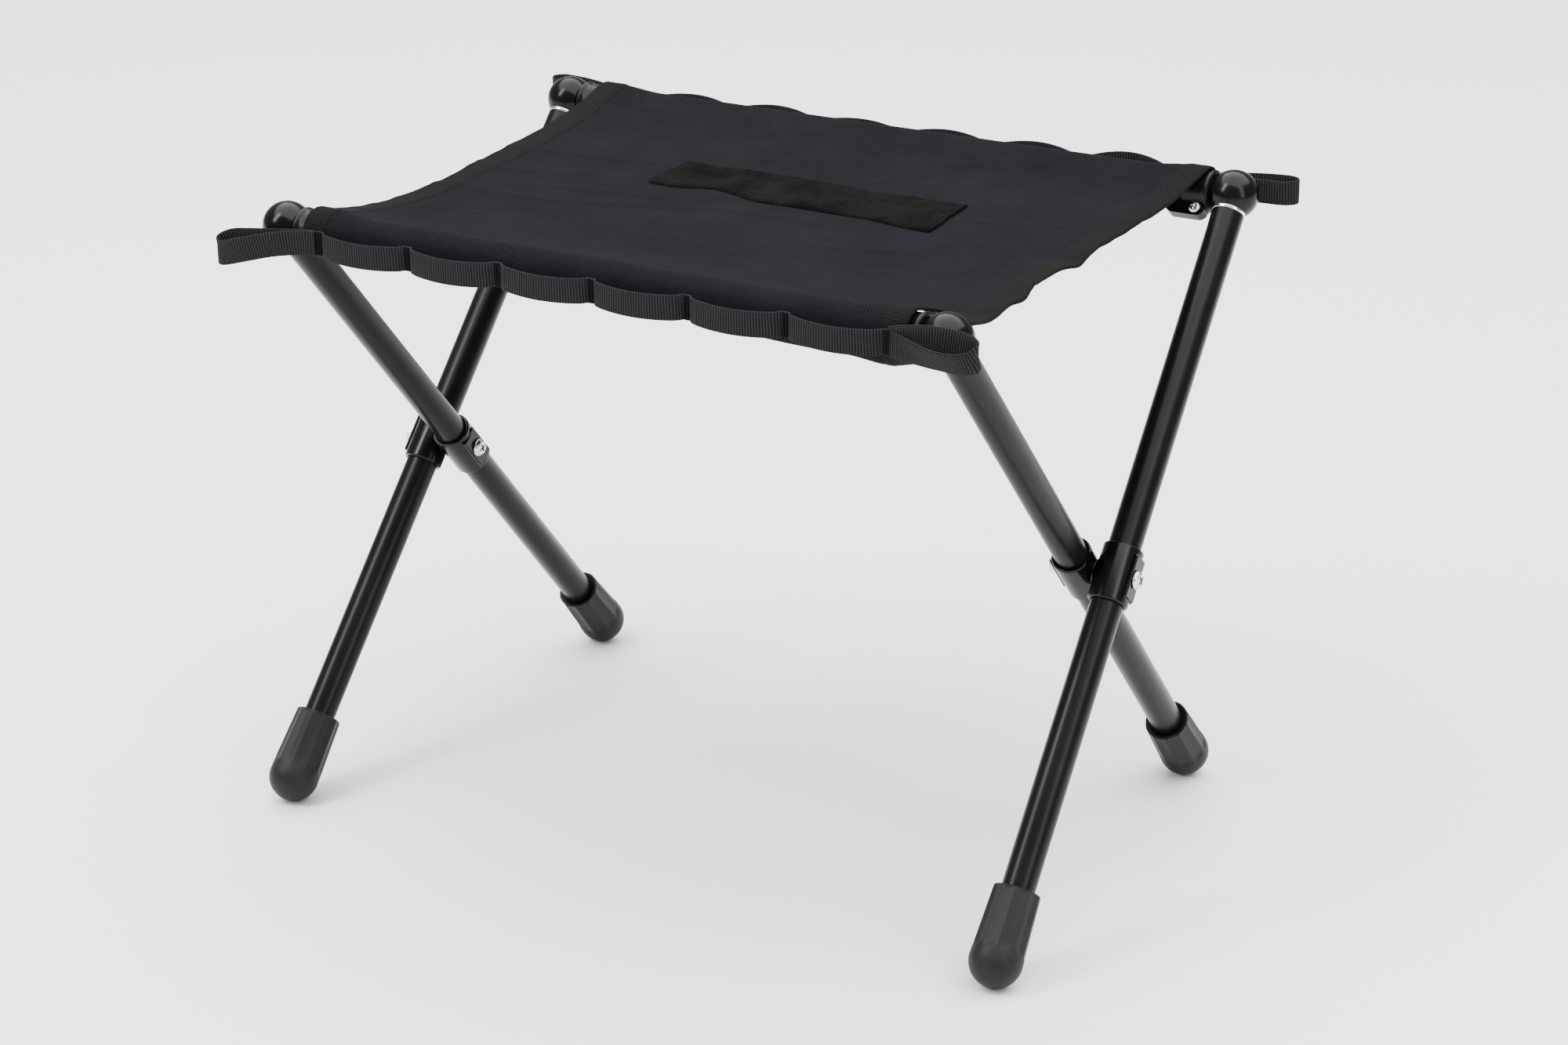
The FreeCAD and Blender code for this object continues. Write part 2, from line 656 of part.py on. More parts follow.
def webbing(frame):
    """A daisy chain: a flat tack, then a bulging cell, and so on along the rail."""
    node = "webbing_" + frame
    half_cell = "(Sizes.cell_pitch / 2 - Sizes.tack / 2)"
    outer_radius = "(%s^2 / 2 / Sizes.cell_bulge + Sizes.cell_bulge / 2)" % half_cell
    inner_radius = "(%s - Sizes.web)" % outer_radius
    inner_half = ("sqrt(2 * %s * Sizes.cell_bulge - Sizes.cell_bulge^2)" % inner_radius)
    front_path = []
    back_path = []
    for k in range(CELLS):
        middle = "(%s * Sizes.cell_pitch)" % (k - (CELLS - 1) / 2)
        front_path.append(("%s - %s" % (middle, half_cell), WEB_FRONT, outer_radius, -1))
        front_path.append(("%s + %s" % (middle, half_cell), WEB_FRONT, None, 0))
        back_path.append(("%s + %s" % (middle, inner_half), WEB_BACK, inner_radius, 1))
        back_path.append(("%s - %s" % (middle, inner_half), WEB_BACK, None, 0))
    end = "(%s * Sizes.cell_pitch + Sizes.tack / 2)" % (CELLS / 2)
    back_path = [corner for k in reversed(range(CELLS)) for corner in back_path[2 * k:2 * k + 2]]
    corners = (
        [("-" + end, WEB_FRONT, None, 0)] + front_path + [(end, WEB_FRONT, None, 0)]
        + [(end, WEB_BACK, None, 0)] + back_path + [("-" + end, WEB_BACK, None, 0)]
    )
    chain = raised(node, outline(node + "_plan", corners, at()), "Sizes.web_width")
    finish(chain, node, web_place(frame))


def bar_tacks(frame):
    """The dense stitching across each flat tack, as thin bars on the webbing."""
    node = "bar_tacks_" + frame
    bars = []
    for k in range(CELLS + 1):
        middle = (k - CELLS / 2) * SIZES["cell_pitch"]
        corner = at(middle - SIZES["tack"] / 4, value(WEB_FRONT) - SIZES["tack_thread"],
                    SIZES["tack_margin"])
        bars.append(solid("Box", "%s_%d" % (node, k), corner, Length="Sizes.tack / 2",
                          Width="Sizes.tack_thread",
                          Height="Sizes.web_width - 2 * Sizes.tack_margin"))
    group = doc.addObject("Part::Compound", node)
    group.Links = bars
    finish(group, node, web_place(frame))


def webbing_loop(frame, side):
    """A teardrop loop of webbing past a corner, open for a hook or a cord."""
    node = "webbing_loop_%s_%s" % (frame, side)
    half, _ = corner_of(frame)
    along = -FRAMES[frame] * SIDES[side]
    sign = "" if along > 0 else "-"
    root = "(Sizes.cell_pitch * %s + Sizes.tack / 2 + Sizes.play)" % (CELLS / 2)
    eye = "(Sizes.%s + Sizes.loop_reach - %d * Sizes.web_shift - Sizes.loop_eye)" % (
        half, SIDES[side])
    middle = "%s - Sizes.loop_stand - Sizes.loop_eye" % WEB_BACK

    def round_end(radius):
        """The two quarter rounds of the eye, from its outer side round to its inner side."""
        tip = "%s(%s + %s)" % (sign, eye, radius)
        return [
            (sign + eye, "%s - (%s)" % (middle, radius), radius, -along),
            (tip, middle, radius, -along),
            (sign + eye, "%s + (%s)" % (middle, radius), None, 0),
        ]

    outside = [
        (sign + root, WEB_BACK, None, 0),
        (sign + root, "%s - Sizes.root_outside" % WEB_BACK, None, 0),
    ] + round_end("Sizes.loop_eye")
    inner_root = sign + "(%s + Sizes.loop_root)" % root
    inside = [(inner_root, "%s - Sizes.root_inside" % WEB_BACK, None, 0)]
    inside += round_end("(Sizes.loop_eye - Sizes.web)")
    block = raised(node + "_block", outline(node + "_outside", outside, at()), "Sizes.web_width")
    low = at(z=-SIZES["web_width"] / 2)
    hole = raised(node + "_hole", outline(node + "_inside", inside, low), "2 * Sizes.web_width")
    finish(cut(node, block, [hole]), node, web_place(frame))


for frame in FRAMES:
    rail(frame)
    rail_sleeve(frame)
    webbing(frame)
    bar_tacks(frame)
    for side in SIDES:
        webbing_loop(frame, side)
        ball(frame, side)
        collar(frame, side)
        lug_screw(frame, side)
        leg(frame, side)
        leg_spigot(frame, side)
        hub_sleeve(frame, side)
        foot(frame, side)
for side in SIDES:
    pivot(side)
seat()
loop_strip()
doc.recompute()

for thing in doc.Objects:
    if "Invalid" in thing.State or "Error" in thing.State:
        raise RuntimeError("%s did not recompute: %s" % (thing.Name, thing.getStatusString()))
os.makedirs("parts", exist_ok=True)
for piece in finished:
    if piece.Shape.isNull() or not piece.Shape.isValid():
        raise RuntimeError(piece.Label + " has no valid shape")
    piece.Shape.exportStep("parts/" + piece.Label + ".step")
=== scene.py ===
import bmesh
import bpy
import math
from mathutils import Matrix, Vector, noise


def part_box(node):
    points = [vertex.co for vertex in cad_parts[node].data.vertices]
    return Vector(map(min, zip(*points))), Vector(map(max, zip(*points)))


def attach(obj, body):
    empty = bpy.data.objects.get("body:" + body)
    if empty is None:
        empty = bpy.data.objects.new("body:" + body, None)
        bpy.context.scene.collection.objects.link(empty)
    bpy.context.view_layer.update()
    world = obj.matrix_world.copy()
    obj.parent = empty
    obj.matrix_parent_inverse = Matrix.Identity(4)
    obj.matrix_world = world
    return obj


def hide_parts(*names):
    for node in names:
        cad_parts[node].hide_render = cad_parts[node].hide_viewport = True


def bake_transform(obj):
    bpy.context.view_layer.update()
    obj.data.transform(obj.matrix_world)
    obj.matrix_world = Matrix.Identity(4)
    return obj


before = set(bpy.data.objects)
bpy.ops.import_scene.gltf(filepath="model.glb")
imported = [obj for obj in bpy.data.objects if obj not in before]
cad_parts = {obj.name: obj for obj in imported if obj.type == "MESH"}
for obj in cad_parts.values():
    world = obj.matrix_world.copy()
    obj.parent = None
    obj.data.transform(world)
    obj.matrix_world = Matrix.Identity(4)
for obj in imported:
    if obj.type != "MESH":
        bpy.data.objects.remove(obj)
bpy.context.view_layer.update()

# Camp stool: visual model over the imported frame. Metres, same axes as the frame.
# The front frame turns about the hubs, the back frame stays, and the seat cloth lies between them
# as a fixed mesh.

MM = 0.001
SIDES = {"left": -1, "right": 1}
FRAMES = {"front": -1, "back": 1}
COLLAR_FACE = 9.6 * MM
BALL_RADIUS = 12.15 * MM
TUBE_RADIUS = 8.0 * MM
FOOT_RADIUS = 12.7 * MM
HUB_LENGTH = 28.4 * MM
WEB_WIDTH = 12.0 * MM
WEB = 1.1 * MM
CELLS = 6
PITCH = 50.8 * MM
TACK = 4.0 * MM
CLOTH = 0.9 * MM
AXIS = 1e-5  # the radius of a turned profile where it meets its own axis
SHARP = 1e-5  # the bevel of an edge that is left sharp


# Where things are, from the frame

def rail_line(which):
    """A rail's half length to its ball centres, its y and its z."""
    low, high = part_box("rail_" + which)
    half = (high[0] - low[0]) / 2 + COLLAR_FACE
    return half, (low[1] + high[1]) / 2, (low[2] + high[2]) / 2


def ball_centre(which, side):
    """The middle of a corner's ball."""
    half, y, z = rail_line(which)
    return Vector((SIDES[side] * half, y, z))


def foot_centre(which, side):
    """The middle of a foot's dome."""
    low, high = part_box("foot_%s_%s" % (which, side))
    x = high[0] - FOOT_RADIUS if side == "right" else low[0] + FOOT_RADIUS
    y = high[1] - FOOT_RADIUS if which == "front" else low[1] + FOOT_RADIUS
    return Vector((x, y, low[2] + FOOT_RADIUS))


def facing(origin, z_axis, x_hint=Vector((1, 0, 0))):
    """A placing matrix with Z along z_axis and X as near the hint as it can be."""
    z = z_axis.normalized()
    y = z.cross(x_hint).normalized()
    x = y.cross(z)
    turn = Matrix((x, y, z)).transposed().to_4x4()
    return Matrix.Translation(origin) @ turn


def leg_place(which, side):
    """The ball centre, Z up the leg."""
    top = ball_centre(which, side)
    return facing(top, top - foot_centre(which, side))


def slope_place(which, side):
    """The ball centre, X along the rail and Z up the frame's slope."""
    top = ball_centre(which, side)
    run = top - foot_centre(which, side)
    return facing(top, Vector((0, run.y, run.z)))


def hub_place(which, side):
    """Where the leg crosses the middle plane, Z up the leg."""
    top, bottom = ball_centre(which, side), foot_centre(which, side)
    share = top.y / (top.y - bottom.y)
    return facing(top.lerp(bottom, share), top - bottom)


# Mesh helpers

def smoothstep(a, b, t):
    """0 at a and 1 at b, with a soft start and end."""
    t = min(1, max(0, (t - a) / (b - a)))
    return t * t * (3 - 2 * t)


def swell(t, middle, width):
    """A smooth bump of height 1 about its middle."""
    return math.exp(-((t - middle) / width) ** 2)


def drift(x, y, z):
    """Smooth noise between -1 and 1 at that place."""
    return noise.noise(Vector((x, y, z)))


def rectangle(half_length, half_width):
    """A flat outline, centred, long along X."""
    return [(-half_length, -half_width), (half_length, -half_width),
            (half_length, half_width), (-half_length, half_width)]


def keep(name, mesh, material, angle=35):
    """The mesh as a smooth-shaded object that keeps its hard edges."""
    thing = bpy.data.objects.new(name.replace(" ", "_"), mesh)
    bpy.context.scene.collection.objects.link(thing)
    mesh.materials.append(material)
    mesh.shade_smooth()
    mesh.set_sharp_from_angle(angle=math.radians(angle))
    return thing


def skin(name, rings, material, closed=True, caps=False, angle=35):
    """A surface through rings of points, with a UV map in metres: u across rings, v round them."""
    count = len(rings[0])
    spans = count if closed else count - 1
    mesh = bpy.data.meshes.new(name)
    points = [p for ring in rings for p in ring]
    faces = []
    for i in range(len(rings) - 1):
        for j in range(spans):
            following = (j + 1) % count
            faces.append((i * count + j, i * count + following,
                          (i + 1) * count + following, (i + 1) * count + j))
    if caps:
        faces.append(tuple(reversed(range(count))))
        faces.append(tuple((len(rings) - 1) * count + j for j in range(count)))
    mesh.from_pydata(points, [], faces)
    along = [0.0]
    for before, after in zip(rings, rings[1:]):
        steps = [(Vector(b) - Vector(a)).length for a, b in zip(before, after)]
        along.append(along[-1] + sum(steps) / count)
    widest = rings[len(rings) // 2]
    around = [0.0]
    for j in range(spans):
        around.append(around[-1] + (Vector(widest[(j + 1) % count]) - Vector(widest[j])).length)
    layer = mesh.uv_layers.new(name="UVMap")
    corner = 0
    for i in range(len(rings) - 1):
        for j in range(spans):
            for u, v in ((i, j), (i, j + 1), (i + 1, j + 1), (i + 1, j)):
                layer.data[corner].uv = (along[u], around[v])
                corner += 1
    work = bmesh.new()
    work.from_mesh(mesh)
    if closed:
        bmesh.ops.recalc_face_normals(work, faces=work.faces)
    work.to_mesh(mesh)
    work.free()
    return keep(name, mesh, material, angle)


def lathe(name, profile, place, material, steps=72, angle=35):
    """A turned solid: profile is (radius, height) from one end to the other."""
    turns = [2 * math.pi * k / steps for k in range(steps)]
    rings = [[place @ Vector((radius * math.cos(a), radius * math.sin(a), height)) for a in turns]
             for radius, height in profile]
    return skin(name, rings, material, caps=True, angle=angle)


def rounded(corners, radius, steps=5):
    """A lathe profile with each inner corner rounded by a short curve."""
    path = [corners[0]]
    for before, here, after in zip(corners, corners[1:], corners[2:]):
        a, b, c = Vector(before), Vector(here), Vector(after)
        cut = min(radius, (a - b).length / 2, (c - b).length / 2)
        start = b + (a - b).normalized() * cut
        end = b + (c - b).normalized() * cut
        for k in range(steps + 1):
            t = k / steps
            path.append(tuple(start * (1 - t) ** 2 + b * 2 * t * (1 - t) + end * t ** 2))
    path.append(corners[-1])
    return path


def prism(name, flat, depth, place, material, bevel, segments=4):
    """A flat outline given depth along Z, its rims rounded."""
    work = bmesh.new()
    bottom = [work.verts.new((x, y, 0)) for x, y in flat]
    face = work.faces.new(bottom)
    lifted = bmesh.ops.extrude_face_region(work, geom=[face])
    moved = [v for v in lifted["geom"] if isinstance(v, bmesh.types.BMVert)]
    bmesh.ops.translate(work, verts=moved, vec=(0, 0, depth))
    bmesh.ops.recalc_face_normals(work, faces=work.faces)
    level = 1e-9
    rims = [e for e in work.edges if abs(e.verts[0].co.z - e.verts[1].co.z) < level]
    bmesh.ops.bevel(work, geom=rims, offset=bevel, segments=segments, affect="EDGES",
                    clamp_overlap=True)
    work.transform(place)
    mesh = bpy.data.meshes.new(name)
    work.to_mesh(mesh)
    work.free()
    return keep(name, mesh, material)


def carve(thing, cutter):
    """thing with the cutter taken out of it, for good."""
    modifier = thing.modifiers.new("carve", "BOOLEAN")
    modifier.object = cutter
    modifier.operation = "DIFFERENCE"
    modifier.solver = "EXACT"
    bpy.context.view_layer.update()
    graph = bpy.context.evaluated_depsgraph_get()
    mesh = bpy.data.meshes.new_from_object(thing.evaluated_get(graph))
    thing.modifiers.remove(modifier)
    thing.data = mesh
    bpy.data.objects.remove(cutter)
    mesh.shade_smooth()
    mesh.set_sharp_from_angle(angle=math.radians(30))
    return thing


def joined(name, things):
    """Several objects as one."""
    work = bmesh.new()
    materials = []
    for thing in things:
        first = len(work.faces)
        work.from_mesh(thing.data)
        work.faces.ensure_lookup_table()
        material = thing.data.materials[0]
        if material not in materials:
            materials.append(material)
        for face in work.faces[first:]:
            face.material_index = materials.index(material)
            face.smooth = True
    mesh = bpy.data.meshes.new(name)
    work.to_mesh(mesh)
    work.free()
    for material in materials:
        mesh.materials.append(material)
    for thing in things:
        bpy.data.objects.remove(thing)
    whole = bpy.data.objects.new(name.replace(" ", "_"), mesh)
    bpy.context.scene.collection.objects.link(whole)
    mesh.set_sharp_from_angle(angle=math.radians(35))
    return whole


# Materials

class Nodes:
    """A material being built: each call adds a node and links it."""

    def __init__(self, name):
        self.material = bpy.data.materials.new(name)
        self.material.use_nodes = True
        self.tree = self.material.node_tree
        self.shader = self.tree.nodes["Principled BSDF"]
        self.where = self.tree.nodes.new("ShaderNodeTexCoord")

    def node(self, kind, **settings):
        made = self.tree.nodes.new("ShaderNode" + kind)
        for key, setting in settings.items():
            setattr(made, key, setting)
        return made

    def link(self, out, into):
        self.tree.links.new(out, into)

    def scaled(self, source, x, y, z, turn=0.0):
        """Texture coordinates multiplied by x, y, z."""
        mapping = self.node("Mapping")
        mapping.inputs["Scale"].default_value = (x, y, z)
        mapping.inputs["Rotation"].default_value = (0, 0, turn)
        self.link(self.where.outputs[source], mapping.inputs["Vector"])
        return mapping.outputs["Vector"]

    def noise(self, place, scale, detail=4.0, roughness=0.55):
        made = self.node("TexNoise")
        made.inputs["Scale"].default_value = scale
        made.inputs["Detail"].default_value = detail
        made.inputs["Roughness"].default_value = roughness
        self.link(place, made.inputs["Vector"])
        return made.outputs["Fac"]

    def bands(self, place, direction, pitch, distortion=0.0):
        """A sine wave of that pitch along one direction."""
        made = self.node("TexWave", wave_type="BANDS", bands_direction=direction)
        factor = 10 if direction == "DIAGONAL" else 20
        made.inputs["Scale"].default_value = 2 * math.pi / (factor * pitch)
        made.inputs["Distortion"].default_value = distortion
        made.inputs["Detail"].default_value = 0
        self.link(place, made.inputs["Vector"])
        return made.outputs["Fac"]

    def maths(self, operation, a, b):
        made = self.node("Math", operation=operation)
        for socket, given in zip(made.inputs, (a, b)):
            if isinstance(given, (int, float)):
                socket.default_value = given
            else:
                self.link(given, socket)
        return made.outputs[0]

    def mixed(self, a, much_a, b, much_b):
        """So much of one added to so much of the other."""
        return self.maths("ADD", self.maths("MULTIPLY", a, much_a),
                          self.maths("MULTIPLY", b, much_b))

    def ramp(self, factor, low, high, start=0.0, end=1.0):
        """A colour between two, as the factor goes from start to end."""
        made = self.node("ValToRGB")
        made.color_ramp.elements[0].position = start
        made.color_ramp.elements[1].position = end
        made.color_ramp.elements[0].color = (*low, 1)
        made.color_ramp.elements[1].color = (*high, 1)
        self.link(factor, made.inputs["Fac"])
        return made.outputs["Color"]

    def level(self, factor, low, high):
        """A number between two, as the factor goes from 0 to 1."""
        made = self.node("MapRange")
        made.inputs["To Min"].default_value = low
        made.inputs["To Max"].default_value = high
        self.link(factor, made.inputs["Value"])
        return made.outputs["Result"]

    def bump(self, height, distance, strength=1.0, under=None):
        made = self.node("Bump")
        made.inputs["Distance"].default_value = distance
        made.inputs["Strength"].default_value = strength
        self.link(height, made.inputs["Height"])
        if under is not None:
            self.link(under, made.inputs["Normal"])
        return made.outputs["Normal"]

    def set(self, **values):
        """Shader inputs, by name with _ for a space: a number, a colour or a link."""
        for name, given in values.items():
            socket = self.shader.inputs[name.replace("_", " ")]
            if isinstance(given, (int, float)):
                socket.default_value = given
            elif isinstance(given, tuple):
                socket.default_value = (*given, 1)
            else:
                self.link(given, socket)


def cloth_material(seams):
    """Charcoal twill: fine diagonal ribs, a faint slub, soft shade changes, and a stitched seam at
    each of those distances along the cloth."""
    stitch_pitch, seam_half = 3.2 * MM, 0.7 * MM
    rib_pitch, thread_pitch = 1.25 * MM * 1.41, 0.62 * MM
    make = Nodes("seat twill")
    place = make.scaled("UV", 1, 1, 1)
    split = make.node("SeparateXYZ")
    make.link(make.where.outputs["UV"], split.inputs["Vector"])
    stitches = make.bands(place, "Y", stitch_pitch)
    seam = 0.0
    for distance in seams:
        away = make.maths("ABSOLUTE", make.maths("SUBTRACT", split.outputs["X"], distance), 0)
        line = make.maths("LESS_THAN", away, seam_half)
        seam = make.maths("ADD", seam, make.maths("MULTIPLY", line, stitches))
    weave = make.bands(place, "DIAGONAL", rib_pitch, 0.6)
    cross = make.bands(place, "X", thread_pitch)
    slub = make.noise(make.scaled("UV", 900, 160, 1), 1.0, 3)
    cloud = make.noise(place, 22.0, 5, 0.6)
    # The twill ribs also set the colour: their grooves are painted darker as painted shade, while
    # the slub and the cloud are random tone.
    fine = make.mixed(weave, 0.6, slub, 0.4)
    shade = make.mixed(fine, 0.55, cloud, 0.45)
    colour = make.ramp(shade, (0.0026, 0.0023, 0.0031), (0.0128, 0.0116, 0.0148), 0.2, 0.85)
    grain = make.maths("ADD", weave, make.maths("MULTIPLY", cross, 0.35))
    crease = make.noise(place, 60.0, 4, 0.6)
    normal = make.bump(crease, 0.6 * MM, 0.35)
    normal = make.bump(grain, 0.2 * MM, 0.8, normal)
    normal = make.bump(make.maths("MULTIPLY", seam, -1), 0.5 * MM, 1.0, normal)
    make.set(Base_Color=colour, Roughness=make.level(cloud, 0.78, 0.92), Normal=normal,
             Sheen_Weight=0.012, Sheen_Roughness=0.4, Specular_IOR_Level=0.015)
    return make.material


def webbing_material(name, pitch, low, high):
    """Ribbed tape: strong ribs across its length and a finer weave along it; the rib crests are
    painted lighter as a painted highlight and the grooves darker as painted shade.
    """
    make = Nodes(name)
    place = make.scaled("UV", 1, 1, 1)
    yarn_pitch = 0.9 * MM
    ribs = make.bands(place, "X", pitch, 0.25)
    yarn = make.bands(place, "Y", yarn_pitch, 0.5)
    fuzz = make.noise(place, 2600.0, 2)
    height = make.maths("ADD", ribs, make.maths("MULTIPLY", yarn, 0.35))
    shade = make.mixed(height, 0.6, fuzz, 0.3)
    normal = make.bump(height, 0.4 * MM, 1.0)
    make.set(Base_Color=make.ramp(shade, low, high, 0.15, 0.95),
             Roughness=make.level(fuzz, 0.6, 0.85), Normal=normal,
             Sheen_Weight=0.01, Sheen_Roughness=0.4, Specular_IOR_Level=0.05)
    return make.material


def pile_material():
    """Fuzzy black loops: crowded specks that catch a little light."""
    make = Nodes("loop pile")
    place = make.scaled("Object", 1, 1, 1)
    cells = make.node("TexVoronoi")
    cells.inputs["Scale"].default_value = 900.0
    make.link(place, cells.inputs["Vector"])
    tangle = make.noise(place, 1400.0, 4, 0.7)
    patch = make.noise(place, 60.0, 3)
    height = make.maths("ADD", cells.outputs["Distance"], make.maths("MULTIPLY", tangle, 1.2))
    # Lighter where the tangle stands high: a painted highlight on the loop tips, mixed with random
    # patches of tone.
    shade = make.maths("MULTIPLY", make.maths("ADD", tangle, patch), 0.5)
    normal = make.bump(height, 0.9 * MM, 1.0)
    colour = make.ramp(shade, (0.0012, 0.0012, 0.0013), (0.0105, 0.0105, 0.0100), 0.35, 0.72)
    make.set(Base_Color=colour,
             Roughness=make.level(tangle, 0.8, 1.0), Normal=normal, Sheen_Weight=0.005,
             Specular_IOR_Level=0.02)
    return make.material


def moulded_material(name, low, high, roughness, texture, shine):
    """Moulded plastic or rubber: a fine skin texture and faint unevenness."""
    make = Nodes(name)
    place = make.scaled("Object", 1, 1, 1)
    skin_grain = make.noise(place, 2200.0, 2)
    smudge = make.noise(place, 70.0, 4, 0.6)
    normal = make.bump(skin_grain, texture, 0.6)
    make.set(Base_Color=make.ramp(smudge, low, high, 0.3, 0.7),
             Roughness=make.level(smudge, roughness * 0.8, roughness * 1.2), Normal=normal,
             Specular_IOR_Level=shine)
    return make.material


def tube_material():
    """Black anodised tube: satin, with fine drawn lines along its length and a few specks."""
    make = Nodes("anodised tube")
    place = make.scaled("Object", 1, 1, 1)
    drawn = make.noise(make.scaled("UV", 30, 900, 1), 1.0, 3)
    speck = make.noise(place, 700.0, 2)
    tone = make.noise(place, 25.0, 3)
    normal = make.bump(drawn, 0.02 * MM, 0.5)
    worn = make.mixed(tone, 0.75, speck, 0.25)
    colour = make.ramp(worn, (0.0022, 0.0022, 0.0026), (0.0050, 0.0050, 0.0056), 0.3, 0.7)
    make.set(Base_Color=colour, Roughness=make.level(drawn, 0.24, 0.36), Normal=normal,
             Specular_IOR_Level=0.12)
    return make.material


def metal_material(name, low, high, roughness):
    """Bare metal with fine turning marks."""
    make = Nodes(name)
    place = make.scaled("Object", 1, 1, 1)
    marks = make.noise(place, 3000.0, 2)
    tone = make.noise(place, 400.0, 3)
    make.set(Base_Color=make.ramp(tone, low, high, 0.3, 0.7), Metallic=1.0,
             Roughness=make.level(marks, roughness * 0.7, roughness * 1.3),
             Normal=make.bump(marks, 0.01 * MM, 0.4))
    return make.material


TUBE = tube_material()
BALL = moulded_material("gloss ball", (0.0016, 0.0016, 0.0018), (0.003, 0.003, 0.0034), 0.2,
                        0.003 * MM, 0.15)
COLLAR = moulded_material("satin collar", (0.002, 0.002, 0.0023), (0.004, 0.004, 0.0045), 0.3,
                          0.008 * MM, 0.13)
HUB = moulded_material("hub plastic", (0.0016, 0.0016, 0.0018), (0.003, 0.003, 0.0033), 0.2,
                       0.006 * MM, 0.18)
RUBBER = moulded_material("foot rubber", (0.007, 0.007, 0.0078), (0.0125, 0.0125, 0.0138), 0.5,
                          0.05 * MM, 0.14)
STEEL = metal_material("screw steel", (0.55, 0.55, 0.56), (0.74, 0.74, 0.75), 0.26)
BRIGHT = metal_material("bright aluminium", (0.83, 0.84, 0.85), (0.95, 0.95, 0.96), 0.2)
# Each tape's second colour is the painted highlight on its rib crests, and its first colour is the
# painted shade in its grooves.
TAPE = webbing_material("binding tape", 0.9 * MM, (0.0016, 0.0016, 0.0016),
                        (0.0075, 0.0075, 0.0070))
STRAP = webbing_material("webbing", 1.35 * MM, (0.0012, 0.0012, 0.0014), (0.0250, 0.0250, 0.0265))
THREAD = webbing_material("tack thread", 0.55 * MM, (0.0012, 0.0012, 0.0012),
                          (0.0060, 0.0060, 0.0063))
PILE = pile_material()


# Frame pieces

def put(thing, which, *nodes):
    """The piece stands for its CAD nodes and rides on its frame."""
    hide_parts(*nodes)
    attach(thing, which + "_frame")


def build_leg(which, side):
    """The leg tube and the bright rim at its top."""
    tag = "%s_%s" % (which, side)
    place = leg_place(which, side)
    length = (ball_centre(which, side) - foot_centre(which, side)).length
    top, bottom = -10.4 * MM, -length + 6 * MM
    wall = TUBE_RADIUS - 1.2 * MM
    profile = rounded([(wall, bottom), (TUBE_RADIUS, bottom), (TUBE_RADIUS, top), (wall, top)],
                      0.4 * MM)
    put(lathe("leg tube " + tag, profile, place, TUBE), which, "leg_" + tag)
    low, plug = top - 6 * MM, wall - 0.1 * MM
    shoulder, crown = -9.3 * MM, -8.4 * MM
    rim = rounded([(AXIS, low), (plug, low), (plug, top), (8.1 * MM, top), (8.3 * MM, shoulder),
                   (8.0 * MM, crown), (AXIS, crown)], 0.25 * MM, 3)
    put(lathe("spigot rim " + tag, rim, place, BRIGHT), which, "leg_spigot_" + tag)


def build_ball(which, side):
    """A glossy ball with a neck towards the rail."""
    tag = "%s_%s" % (which, side)
    inboard = Vector((-SIDES[side], 0, 0))
    place = facing(ball_centre(which, side), inboard, Vector((0, 0, 1)))
    face, neck_end, steps = 8.9 * MM, COLLAR_FACE + 1 * MM, 40
    stop = math.acos(face / BALL_RADIUS)
    turns = [math.pi - (math.pi - stop) * k / steps for k in range(steps + 1)]
    arc = [(max(AXIS, BALL_RADIUS * math.sin(a)), BALL_RADIUS * math.cos(a)) for a in turns]
    neck = rounded([arc[-1], (7.7 * MM, face + 0.15 * MM), (7.5 * MM, neck_end),
                    (AXIS, neck_end)], 0.2 * MM, 2)
    put(lathe("ball " + tag, arc + neck, place, BALL, angle=50), which, "ball_" + tag)


def stadium(length, radius, steps=14):
    """A flat outline with round ends, centred, long along X."""
    reach = length / 2 - radius
    points = []
    for end, start in ((reach, -math.pi / 2), (-reach, math.pi / 2)):
        for k in range(steps + 1):
            turn = start + math.pi * k / steps
            points.append((end + radius * math.cos(turn), radius * math.sin(turn)))
    return points


def build_collar(which, side):
    """The lipped ring at the rail's end, the round-ended lug below it, and the lug's screw."""
    tag = "%s_%s" % (which, side)
    inboard = Vector((-SIDES[side], 0, 0))
    place = facing(ball_centre(which, side), inboard, Vector((0, 0, 1)))
    face, end, bore, sleeve = 9.7 * MM, 24 * MM, 8.2 * MM, 9.75 * MM
    profile = rounded([(7.6 * MM, face), (9.5 * MM, face), (10.7 * MM, 10.6 * MM),
                       (10.5 * MM, 11.9 * MM), (sleeve, 13.6 * MM), (sleeve, end), (bore, end)],
                      0.7 * MM)
    ring = lathe("collar ring", profile, place, COLLAR)
    slope = slope_place(which, side)

    def across(reach, front, drop):
        """A place so far in along the rail and down the slope, its Z towards the front."""
        spot = slope @ Matrix.Translation((-SIDES[side] * reach, front, -drop))
        return spot @ Matrix.Rotation(math.pi / 2, 4, "X")

    lug_low = across(21.4 * MM, 4.3 * MM, 11.0 * MM)
    lug = prism("lug", stadium(20.4 * MM, 3.9 * MM), 8.6 * MM, lug_low, COLLAR, 1.3 * MM)
    web_low = across(21.0 * MM, 3.0 * MM, 8.6 * MM)
    web = prism("lug web", stadium(17 * MM, 3.4 * MM), 6 * MM, web_low, COLLAR, 0.8 * MM)
    put(joined("collar " + tag, [ring, lug, web]), which, "collar_" + tag)
    screw_low = across(15.8 * MM, -4.3 * MM, 11.3 * MM)
    screw = pan_head("lug screw " + tag, 3.0 * MM, 1.6 * MM, screw_low)
    put(screw, which, "lug_screw_" + tag)


